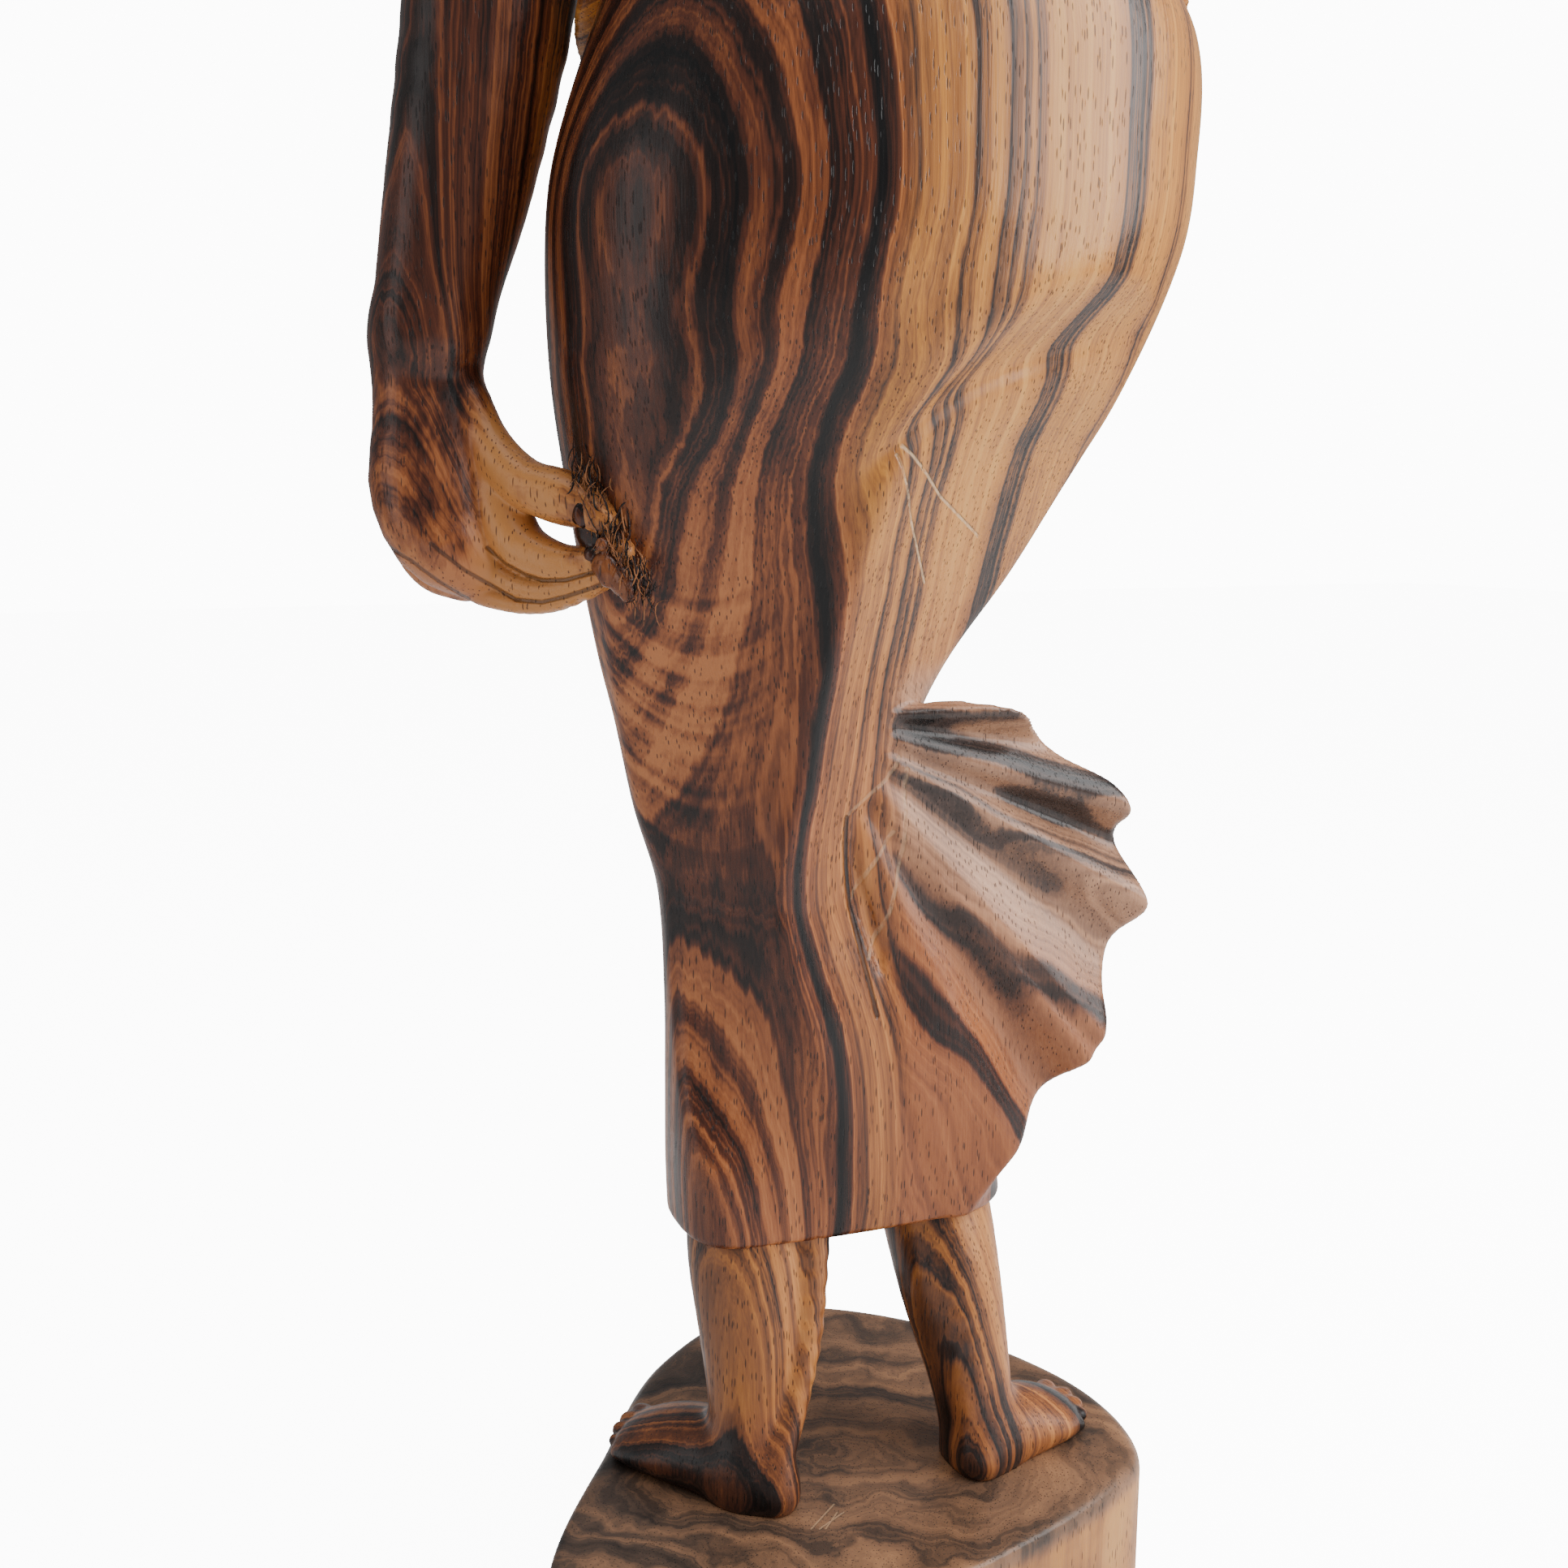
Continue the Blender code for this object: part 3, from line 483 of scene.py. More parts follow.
INK = srgb(10, 8, 9)
# pale wood of scratches, also used as painted highlight on the pleats' edges
SCRATCH_AND_EDGE_HIGHLIGHT = srgb(214, 178, 138)
WARM_STOPS = [(0.04, INK), (0.26, srgb(36, 21, 17)), (0.46, srgb(86, 44, 29)), (0.68, srgb(146, 84, 48)),
              (0.95, srgb(182, 114, 68))]
PALE_STOPS = [(0.04, INK), (0.30, srgb(66, 50, 44)), (0.54, srgb(156, 100, 56)), (0.80, srgb(198, 132, 62)),
              (1.0, srgb(212, 150, 76))]
PLINTH_STOPS = [(0.1, srgb(30, 26, 24)), (0.36, srgb(74, 58, 48)), (0.6, srgb(128, 94, 70)),
                (0.95, srgb(178, 130, 92))]
# milky, pinkish tan with greyish dark bands for the upper train: partly the wood's own colour, partly painted
# sheen and painted reflection of the varnish
TRAIN_STOPS_WITH_SHEEN = [(0.04, srgb(30, 26, 26)), (0.30, srgb(82, 66, 60)), (0.56, srgb(150, 110, 86)),
               (0.8, srgb(194, 146, 114)), (1.0, srgb(212, 168, 136))]


class Number:
    """A number worked out by shader nodes, which plain arithmetic carries on."""

    def __init__(self, tree, socket):
        self.tree = tree
        self.socket = socket

    def __add__(self, other):
        return self.tree.math("ADD", self, other)

    def __sub__(self, other):
        return self.tree.math("SUBTRACT", self, other)

    def __rsub__(self, other):
        return self.tree.math("SUBTRACT", other, self)

    def __mul__(self, other):
        return self.tree.math("MULTIPLY", self, other)

    __radd__ = __add__
    __rmul__ = __mul__


class Tree:
    """A material's node tree, built one named step at a time."""

    def __init__(self, name):
        self.material = bpy.data.materials.new(name)
        self.material.use_nodes = True
        self.tree = self.material.node_tree
        self.shader = self.tree.nodes["Principled BSDF"]

    def put(self, target, value):
        value = getattr(value, "socket", value)
        if isinstance(value, bpy.types.NodeSocket):
            self.tree.links.new(value, target)
        else:
            target.default_value = value

    def make(self, kind, inputs=None, **settings):
        """A new node with these settings, and with these of its inputs filled or linked."""
        node = self.tree.nodes.new("ShaderNode" + kind)
        for setting, value in settings.items():
            setattr(node, setting, value)
        for place, value in (inputs or {}).items():
            self.put(node.inputs[place], value)
        return node

    def math(self, operation, *numbers):
        node = self.make("Math", dict(enumerate(numbers)), operation=operation)
        return Number(self, node.outputs[0])

    def scaled(self, place, factors):
        return self.make("VectorMath", {0: place, 1: factors}, operation="MULTIPLY").outputs[0]

    def moved(self, place, *steps):
        for step in steps:
            place = self.make("VectorMath", {0: place, 1: step}, operation="ADD").outputs[0]
        return place

    def split(self, place):
        return [Number(self, socket) for socket in self.make("SeparateXYZ", {0: place}).outputs]

    def noise_node(self, place, detail=2.0, roughness=0.5):
        return self.make("TexNoise", {"Vector": place, "Scale": 1.0, "Detail": detail,
                                      "Roughness": roughness})

    def noise(self, place, detail=2.0, roughness=0.5):
        return Number(self, self.noise_node(place, detail, roughness).outputs["Fac"])

    def noise_line(self, value, scale, detail=1.0, offset=0.0):
        """Noise along one number, about zero."""
        node = self.make("TexNoise", {"W": value + offset, "Scale": scale, "Detail": detail},
                         noise_dimensions="1D")
        return Number(self, node.outputs["Fac"]) - 0.5

    def wander(self, place, factors, amount):
        """Noise of this scale as a level push of this many millimetres."""
        push = self.moved(self.noise_node(self.scaled(place, factors)).outputs["Color"], (-0.5, -0.5, -0.5))
        return self.scaled(push, (amount, amount, 0.0))

    def spread(self, value, low, high, to_low=0.0, to_high=1.0):
        node = self.make("MapRange", {"Value": value, "From Min": low, "From Max": high, "To Min": to_low,
                                      "To Max": to_high}, interpolation_type="SMOOTHSTEP")
        return Number(self, node.outputs["Result"])

    def mix(self, share, a, b, blend="MIX"):
        return self.make("Mix", {"Factor": share, 6: a, 7: b}, data_type="RGBA", blend_type=blend).outputs[2]

    def ramp(self, value, stops):
        node = self.make("ValToRGB", {0: value})
        elements = node.color_ramp.elements
        while len(elements) > 1:
            elements.remove(elements[-1])
        elements[0].position, elements[0].color = stops[0]
        for position, colour in stops[1:]:
            elements.new(position).color = colour
        return node.outputs[0]

    def curve(self, value, table):
        """A table of two columns as a smooth curve of the value."""
        low, high = table[0][0], table[-1][0]
        tones = [row[1] for row in table]
        least, most = min(tones), max(tones)
        share = self.make("MapRange", {"Value": value, "From Min": low, "From Max": high})
        node = self.make("FloatCurve", {"Value": share.outputs["Result"]})
        points = node.mapping.curves[0].points
        while len(points) < len(table):
            points.new(0.5, 0.5)
        for point, (where, tone) in zip(points, table):
            point.location = ((where - low) / (high - low), (tone - least) / (most - least))
        node.mapping.update()
        return Number(self, node.outputs[0]) * (most - least) + least

    def stroke(self, u, v, points, width):
        """1 on a thin line drawn through points of the plane of u and v, and 0 beside it."""
        nearest = 100.0
        for (au, av), (bu, bv) in zip(points, points[1:]):
            square = (bu - au) ** 2 + (bv - av) ** 2
            du = u - au
            dv = v - av
            run = du * ((bu - au) / square) + dv * ((bv - av) / square)
            run = self.math("MINIMUM", self.math("MAXIMUM", run, 0.0), 1.0)
            off_u = du - run * (bu - au)
            off_v = dv - run * (bv - av)
            nearest = self.math("MINIMUM", off_u * off_u + off_v * off_v, nearest)
        return self.spread(self.math("SQRT", nearest), 0.3 * width, width, 1.0, 0.0)

    def strokes(self, u, v, lines, width):
        mask = 0.0
        for line in lines:
            mask = self.math("MAXIMUM", mask, self.stroke(u, v, line, width))
        return mask

    def relief(self, height, distance, strength, below=None):
        node = self.make("Bump", {"Height": height, "Distance": distance, "Strength": strength})
        if below is not None:
            self.put(node.inputs["Normal"], below)
        return node.outputs[0]


def grain(name):
    """A tree with the place in millimetres about the figure's axis, and noise drawn out along the fibres."""
    t = Tree(name)
    place = t.moved(t.make("TexCoord").outputs["Object"], (-FIGURE_X, -FIGURE_Y, -PLINTH_TOP))
    mm = t.scaled(place, (1 / MM, 1 / MM, 1 / MM))
    return t, mm, t.noise(t.scaled(mm, (2.4, 2.4, 0.07)), 3.0, 0.6)


def rightwards(east, north):
    """How far a place is to the right, as seen from the camera."""
    return east * LEVEL_RIGHT[0] + north * LEVEL_RIGHT[1]


def blend(share, a, b):
    return share * (b - a) + a


def finish(t, mm, fibre, colour, gloss, pale_line=None, painted_shade_line=None):
    """Open pores, scratches, painted highlight on edges, painted shade in creases and gaps, the varnish, and
    the marks of the knife under it.
    """
    cell = t.make("TexVoronoi", {"Vector": t.scaled(mm, (2.2, 2.2, 0.30)), "Scale": 1.0})
    open_pore = t.spread(cell.outputs["Distance"], 0.17, 0.30, 1.0, 0.0)
    chance = t.make("SeparateColor", {0: cell.outputs["Color"]}).outputs[0]
    crowd = t.noise(t.scaled(mm, (0.12, 0.12, 0.03)))
    pore = open_pore * t.math("GREATER_THAN", crowd * 0.8 + chance, 0.66)
    colour = t.mix(pore * 0.72, colour, INK)
    # pale lines: real scratches, and painted highlight on the pleats' edges
    if pale_line is not None:
        colour = t.mix(pale_line * 0.8, colour, SCRATCH_AND_EDGE_HIGHLIGHT)
    # dark lines: painted shade in creases and gaps
    if painted_shade_line is not None:
        colour = t.mix(painted_shade_line * 0.8, colour, INK)
    t.put(t.shader.inputs["Base Color"], colour)

    wear = t.noise(t.scaled(mm, (0.05, 0.05, 0.03)), 3.0, 0.6)
    rough = t.spread(wear, 0.3, 0.7, gloss - 0.05, gloss + 0.08) + pore * 0.1 + (fibre - 0.5) * 0.12
    t.put(t.shader.inputs["Roughness"], rough)
    t.shader.inputs["Specular IOR Level"].default_value = 0.34
    t.shader.inputs["Coat Weight"].default_value = 0.08
    t.shader.inputs["Coat Roughness"].default_value = 0.22
    normal_out = t.relief(t.noise(t.scaled(mm, (0.12, 0.12, 0.09)), 1.0), 0.0006, 0.6)
    normal_out = t.relief(fibre, 0.00007, 0.7, normal_out)
    normal_out = t.relief(1.0 - pore, 0.00010, 0.5, normal_out)
    for line in (pale_line, painted_shade_line):
        if line is not None:
            normal_out = t.relief(1.0 - line, 0.0003, 0.8, normal_out)
    t.put(t.shader.inputs["Normal"], normal_out)
    return t.material


def thigh_arcs(t, east, north, height, folded):
    """Arcs that hang across the left of the lower thigh, where the surface runs along the rings."""
    level = rightwards(east, north) + ARCS_TO_LEFT
    sag = level * level * ARCS_SAG + height
    here = t.spread(height, 100.0, 107.0) * t.spread(height, 152.0, 136.0) * t.spread(folded, 25.6, 31.5)
    return t.noise_line(sag, 0.30, 2.0, 8.8) * (here * 1.1)


def train_sheet(t, mm, east, north, height):
    """Where the train is, the angle round it there, and the tone of its own grain."""
    turn = t.math("ARCTAN2", TRAIN_CENTRE[1] - height, TRAIN_CENTRE[0] - east)
    turn = turn * math.degrees(1) + (north - 10.0) * 1.1
    turn = turn + (t.noise(t.scaled(mm, (0.05, 0.05, 0.05)), 1.0) - 0.5) * 7.0
    tone = t.curve(turn, TRAIN_TONE) + t.noise_line(turn, 0.9, 2.0, 5.1) * 0.45
    here = t.spread(east, -11.0, -17.0) * t.spread(height, 134.0, 127.0) * t.spread(north, 0.0, 5.0)
    return here, turn, tone


def ring_wood(name, tint=(1.0, 1.0, 1.0, 1), dark=0.0, gloss=0.36, train=False, marks=None, local=None,
              calm=0.0):
    """Striped rosewood: growth rings cut through by the form, streaked along the grain."""
    t, mm, fibre = grain(name)
    warped = t.moved(mm, t.wander(mm, (0.02, 0.02, 0.012), 3.4), t.wander(mm, (0.1, 0.1, 0.022), 1.2),
                     t.wander(mm, (1.1, 1.1, 0.05), 0.6))
    east, north, height = t.split(warped)
    across = east * RING_NORMAL[0] + north * RING_NORMAL[1] + t.curve(height, RING_BOW)
    folded = RING_FOLD - t.math("ABSOLUTE", RING_FOLD - across)
    band = blend(calm, t.curve(folded, RING_TONE), CALM_TONE)
    band = band + t.spread(folded, 25.4, 27.6) * t.curve(height, HEART_LIFT_AND_KNEE_SHADE)
    band = band + thigh_arcs(t, east, north, height, folded)
    for scale, offset, weight in RING_LINES:
        band = band + t.noise_line(across, scale, 1.0, offset) * weight
    band = band + (t.noise(t.scaled(mm, (0.30, 0.30, 0.02)), 2.0, 0.55) - 0.5) * 0.40
    # paler, yellower tan over the outer rings, strongest on the upper hip: partly paler wood, partly painted
    # sheen of the window light
    pale_wood_and_sheen = t.spread(folded, 24.0, 20.6) * t.spread(height, 112.0, 168.0, 0.3, 1.0)
    if train:
        in_train, turn, tone = train_sheet(t, mm, east, north, height)
        band = blend(in_train, band, tone)
    band = band + (t.noise(t.scaled(mm, (0.07, 0.07, 0.02))) - 0.5) * 0.36 + (fibre - 0.5) * 0.26 - dark
    if local:
        extra, pale_share = local(t, mm)
        band = band + extra
        pale_wood_and_sheen = t.math("MAXIMUM", pale_wood_and_sheen, pale_share)
    colour = t.mix(pale_wood_and_sheen, t.ramp(band, WARM_STOPS), t.ramp(band, PALE_STOPS))
    if train:
        # the upper train takes the milky ramp, partly painted sheen
        sheet = t.mix(t.spread(turn, 34.0, 52.0), t.ramp(band, TRAIN_STOPS_WITH_SHEEN), t.ramp(band, WARM_STOPS))
        colour = t.mix(in_train, colour, sheet)
    colour = t.mix(1.0, colour, tint, "MULTIPLY")
    pale_line, painted_shade_line = marks(t, mm) if marks else (None, None)
    return finish(t, mm, fibre, colour, gloss, pale_line, painted_shade_line)


def plinth_wood(name):
    """Polished end grain on top, whose rings run down the sides as stripes."""
    t, mm, fibre = grain(name)
    warped = t.moved(mm, t.wander(mm, (0.028, 0.028, 0.01), 34.0), t.wander(mm, (0.12, 0.12, 0.02), 9.0),
                     t.wander(mm, (0.7, 0.7, 0.02), 1.6))
    east, north, height = t.split(t.moved(warped, (-PITH[0], -PITH[1], 0.0)))
    right = rightwards(east, north) * 0.5
    away = east * LEVEL_RIGHT[1] - north * LEVEL_RIGHT[0]
    across = t.math("SQRT", right * right + away * away)
    band = t.curve(across, PLINTH_TONE)
    for scale, offset, weight in PLINTH_LINES:
        band = band + t.noise_line(across, scale, 1.0, offset) * weight
    # painted shade: the plinth is painted darker towards the left, away from the window light, and a little
    # lighter on the right
    band = band + t.spread(right, -26.0, 4.0, -0.16, 0.04)
    band = band + (t.noise(t.scaled(warped, (0.06, 0.06, 0.05)), 4.0, 0.6) - 0.5) * 0.95
    x, y, level = t.split(mm)
    # the sides are painted lighter and more orange: partly their own side grain, partly painted light from
    # the window on the right
    on_side = t.spread(level, -1.5, -5.0)
    band = band + on_side * 0.26
    colour = t.mix(on_side * 0.8, t.ramp(band, PLINTH_STOPS), t.ramp(band, PALE_STOPS))
    pale_line = t.strokes(x, y, CHISEL_MARKS, 0.22) * t.spread(level, -2.0, -1.0)
    return finish(t, mm, fibre, colour, 0.34, pale_line * 0.35)


def sarong_marks(t, mm):
    """Pale scratches over the fold, painted highlight on the edges round the pleats, and painted shade in the
    gap beside them.
    """
    x, y, h = t.split(t.moved(mm, t.wander(mm, (0.9, 0.9, 0.9), 0.3)))
    behind = t.spread(y, 6.0, 10.0)
    broken = t.spread(t.noise(t.scaled(mm, (0.55, 0.55, 0.55)), 2.0, 0.6), 0.32, 0.56, 0.25, 1.0)
    # painted highlight on the pleats' edges
    edges = t.strokes(x, h, PLEAT_EDGES, 0.5) * 0.3
    pale = t.math("MAXIMUM", t.strokes(x, h, CUTS, 0.38), edges)
    # painted shade in the gap beside the pleats
    return pale * broken * behind, t.stroke(x, h, PLEAT_GAP, 0.6) * behind


def hand_tone(t, mm):
    """The thumb and the fingers are cut in paler wood than the arm, and dark where they are torn; the hand is
    painted darker at its left edge and lighter to the right, as painted shade and light.
    """
    x, y, h = t.split(mm)
    right = rightwards(x, y)
    fingers = t.spread(right, -46.5, -40.5) * t.spread(h, 176.0, 166.0)
    low = t.spread(h, 150.0, 145.5) * 0.24
    torn = t.spread(right, -34.5, -29.0) * -0.34
    # painted shade and light: darker at the hand's left edge and lighter towards the right, as seen from the
    # camera
    edge = t.spread(right, -52.0, -42.0, -0.06, 0.10)
    patch = t.noise(t.scaled(mm, (0.2, 0.2, 0.12)), 3.0, 0.6) - 0.5
    patch = patch * t.spread(h, 186.0, 168.0, 0.0, 1.3)
    return fingers * 0.46 + low + patch + torn + edge, fingers * 0.4


def finger_crease_shade(t, mm):
    """Painted shade in the creases between the fingers."""
    x, y, h = t.split(mm)
    lines = [[(rightwards(px, py), ph) for px, py, ph in seam] for seam in FINGER_SEAMS]
    return None, t.strokes(rightwards(x, y), h, lines, 0.42) * 0.8


def leg_tone_and_foot_shade(t, mm):
    """The legs are greyer than the sarong; the feet are painted darker than the shins, as painted shade near
    the plinth.
    """
    _, _, h = t.split(mm)
    # painted shade: darker and less pale below about 17 mm, towards the plinth
    return t.spread(h, 17.0, 8.0, -0.10, -0.26), t.spread(h, 10.0, 20.0, 0.2, 0.5)


# ---------------------------------------------------------------- the pieces

def train_field(x, y, h):
    """The pleated sheet of the train: its middle surface swings in and out with the angle about the apex."""
    dx = TRAIN_APEX[0] - x
    dh = TRAIN_APEX[1] - h
    angle = np.degrees(np.arctan2(dh, dx))
    reach = np.sqrt(dx ** 2 + dh ** 2)
    rim = smooth_curve(TRAIN_RIM, angle)
    share = np.clip(reach / rim, 0, 1.1)
    wave = smooth_curve(TRAIN_WAVE, angle)
    middle = TRAIN_ROOT_Y + (TRAIN_RIM_Y - TRAIN_ROOT_Y) * share + TRAIN_WAVE_DEPTH * wave * share ** 1.5
    half = 2.4 - 1.5 * share
    sheet = np.abs(y - middle) * 0.86 - half
    edge = soft_max(reach - rim, (np.abs(angle - 34) - 38) * reach * 0.0175, 1)
    return soft_max(sheet, edge * 0.9, 1.2)


def inside_corners(corners, x, h):
    """Signed distance in the X-height plane from a convex outline given anticlockwise: negative inside."""
    far = np.full(np.broadcast_shapes(x.shape, h.shape), -1e9)
    for (ax, ah), (bx, bh) in zip(corners, corners[1:] + corners[:1]):
        size = math.dist((ax, ah), (bx, bh))
        far = np.maximum(far, ((bh - ah) * (x - ax) - (bx - ax) * (h - ah)) / size)
    return far


def carve_sarong():
    block = Block((-80, -36, HEM - 2), (42, 46, 246), 0.6)
    _, x, y, h = block.window()
    core = section_field(SARONG, x, y, h)
    ridge_x, ridge_y, back, side = along(BACK_RIDGE, h)
    flat = (y - ridge_y - back * (x - ridge_x)) / np.sqrt(1 + back ** 2)
    left = (y - ridge_y - side * (x - ridge_x)) / np.sqrt(1 + side ** 2)
    facets = soft_max(flat, left, 1.0) - 0.12
    valley = smooth_curve(FOLD, x)
    s = (h - valley) * 0.86
    late = 26 * smooth_step(-12, 6, x)          # the fold dies out softly towards the left side
    facets = facets - 9 * smooth_step(-1, 13 + late, s) - 30 * smooth_step(8 + late, 24 + late, s)
    facets = np.where(y > -5, facets, -FAR)
    core = soft_max(core, facets, 1.6)
    strength = np.interp(x, *zip(*FOLD_STRENGTH))
    rear = smooth_step(6, 16, y)
    core = core + rear * strength * (1.3 * bump(s, 2.2) - 0.7 * bump(s - 8, 5) - 0.5 * bump(s + 7, 4))
    notch = inside_corners(PLEAT_NOTCH, x, h)
    core = core + rear * 0.9 * smooth_step(0.25, -0.25, notch)
    sliver = inside_corners(PLEAT_SLIVER, x, h)
    core = core - rear * 0.5 * smooth_step(0.3, -0.4, sliver)
    crease = bump(h - 97 - 0.12 * (x - 5), 3) * smooth_step(2, 8, x) * smooth_step(-8, 4, y)
    core = core + 0.4 * crease
    block.field = core.astype(np.float32)
    part, x, y, h = block.window((-80, -10, HEM - 2), (12, 40, 132))
    blend = 0.7 + 5 * smooth_step(96, 66, h)
    block.field[part] = soft_min(block.field[part], train_field(x, y, h), blend)
    block.keep(lambda x, y, h: HEM - h, 1.2)
    block.keep(lambda x, y, h: h - SARONG_TOP, 0)
    return block


def carve_leg(leg, achilles, foot, toes):
    reach = [p[0] for p in leg + achilles + toes]
    block = Block((min(reach) - 11, -22, -3), (max(reach) + 11, 30, 56), 0.5)
    block.limb(leg, samples=22, joints=1.5)
    block.limb(achilles, blend=1.6, samples=18, joints=1.0)
    block.limb(foot, blend=3.0, samples=18, joints=1.0)
    root = foot[-2]
    for i, (tx, ty) in enumerate(toes):
        size = 1.9 - 0.22 * i
        start = (root[0] + 0.6 * (tx - root[0]), root[1] + 0.6 * (ty - root[1]), 2.4)
        block.limb([(*start, size, size), (tx, ty, 1.3, size, size * 0.9)], blend=0.7, samples=4, joints=0.5)
    block.keep(lambda x, y, h: SOLE - h, 0.3)
    return block


def outline_distance(x, y):
    """Signed distance in the plane from the plinth's smooth outline."""
    table = PLINTH_OUTLINE[-2:] + PLINTH_OUTLINE + PLINTH_OUTLINE[:3]
    rows = [(k, *p) for k, p in enumerate(table)]
    count = 240
    ring = np.array([interpolate(rows, 2 + len(PLINTH_OUTLINE) * i / count)[1:] for i in range(count)])
    best = np.full(np.broadcast_shapes(x.shape, y.shape), 1e9)
    crossings = np.zeros(best.shape, int)
    for a, b in zip(ring, np.roll(ring, -1, axis=0)):
        edge = b - a
        run = np.clip(((x - a[0]) * edge[0] + (y - a[1]) * edge[1]) / (edge @ edge), 0, 1)
        best = np.minimum(best, (x - a[0] - run * edge[0]) ** 2 + (y - a[1] - run * edge[1]) ** 2)
        spans = (a[1] <= y) != (b[1] <= y)
        step = np.where(spans, a[0] + (y - a[1]) * edge[0] / (edge[1] if edge[1] else 1), -1e9)
        crossings += x < step
    return np.where(crossings % 2 == 1, -1, 1) * np.sqrt(best)


def carve_plinth():
    block = Block((-61, -50, -PLINTH_DEPTH - 2), (52, 47, 3), 0.7)
    _, x, y, h = block.window()
    flat = outline_distance(x[:, :, 0], y[:, :, 0])[:, :, None]
    toward = LEVEL_RIGHT[1] * x - LEVEL_RIGHT[0] * y
    round_off = 1.0 + 3.4 * smooth_step(30, -5, toward)
    body = soft_max(np.broadcast_to(flat, np.broadcast_shapes(x.shape, y.shape, h.shape)), h, round_off)
    block.field = soft_max(body, -PLINTH_DEPTH - h, 1.5).astype(np.float32)
    return block


def carve_left_arm():
    block = Block((20, -28, 136), (64, 16, 268), 0.45)
    block.limb(LEFT_ARM, samples=20, joints=2.0)
    block.limb(LEFT_PALM, blend=2.5, samples=14, joints=1.5)
    for finger in LEFT_FINGERS:
        block.limb(finger, blend=0.3, samples=16, joints=0.8)
    block.limb(LEFT_THUMB, blend=1.0, samples=18, joints=0.8)
    return block


def carve_right_arm():
    block = Block((-62, -34, 244), (12, 20, 282), 0.5)
    block.limb(RIGHT_ARM, samples=18, joints=2.0)
    block.limb(RIGHT_PALM, blend=2.5, samples=12, joints=1.0)
    for start, end in zip(RIGHT_KNUCKLES, RIGHT_FINGER_TIPS):
        middle = [(a + b) / 2 for a, b in zip(start, end)]
        middle[1] -= 1.2
        finger = [(*start, 2.5, 2.5), (*middle, 2.3, 2.3), (*end, 1.9, 1.9)]
        block.limb(finger, blend=0.5, samples=8, joints=0.4)
    block.limb(RIGHT_THUMB, blend=1.2, samples=10, joints=0.6)
    return block


def carve_jacket():
    block = Block((-70, -44, 205), (45, 46, 324), 0.7)
    _, x, y, h = block.window()
    block.field = section_field(JACKET, x, y, h).astype(np.float32)
    for bx in (-14.5, 6.5):
        block.ball((bx, -15.5, 286, 13.5, 10.8, 13.5), blend=5)
    hem = JACKET_HEM + JACKET_HEM_RISE * y
    block.shift(lambda x, y, h: 0.7 * smooth_step(4.2, 3.0, h - hem))
    front = smooth_step(4, -4, y)
    lapel = np.abs(np.abs(x - OPENING_X) - (h - LAPEL_FOOT) * 0.42) - 1.6
    lapel = bump(np.maximum(lapel, 0), 0.6) * (h > LAPEL_FOOT - 3) * front
    slit = front * bump(x - OPENING_X, 0.5) * (h < LAPEL_FOOT)
    block.shift(lambda x, y, h: 0.7 * lapel - 0.5 * slit)
    block.keep(lambda x, y, h: (hem - h) * 0.94, 0.9)
    return block


def carve_sleeve(path, shoulder, low, high):
    block = Block(low, high, 0.6)
    block.limb(path, samples=16, joints=2.0)
    block.ball(shoulder, blend=3)
    end = np.array(path[-1][:3], float)
    before = np.array(path[-2][:3], float)
    axis = (end - before) / np.linalg.norm(end - before)
    cuff = end + axis * 0.5

    def beyond(x, y, h):
        return (x - cuff[0]) * axis[0] + (y - cuff[1]) * axis[1] + (h - cuff[2]) * axis[2]

    block.shift(lambda x, y, h: 0.5 * smooth_step(-3.6, -2.8, beyond(x, y, h)))
    block.keep(beyond, 0.8)
    return block


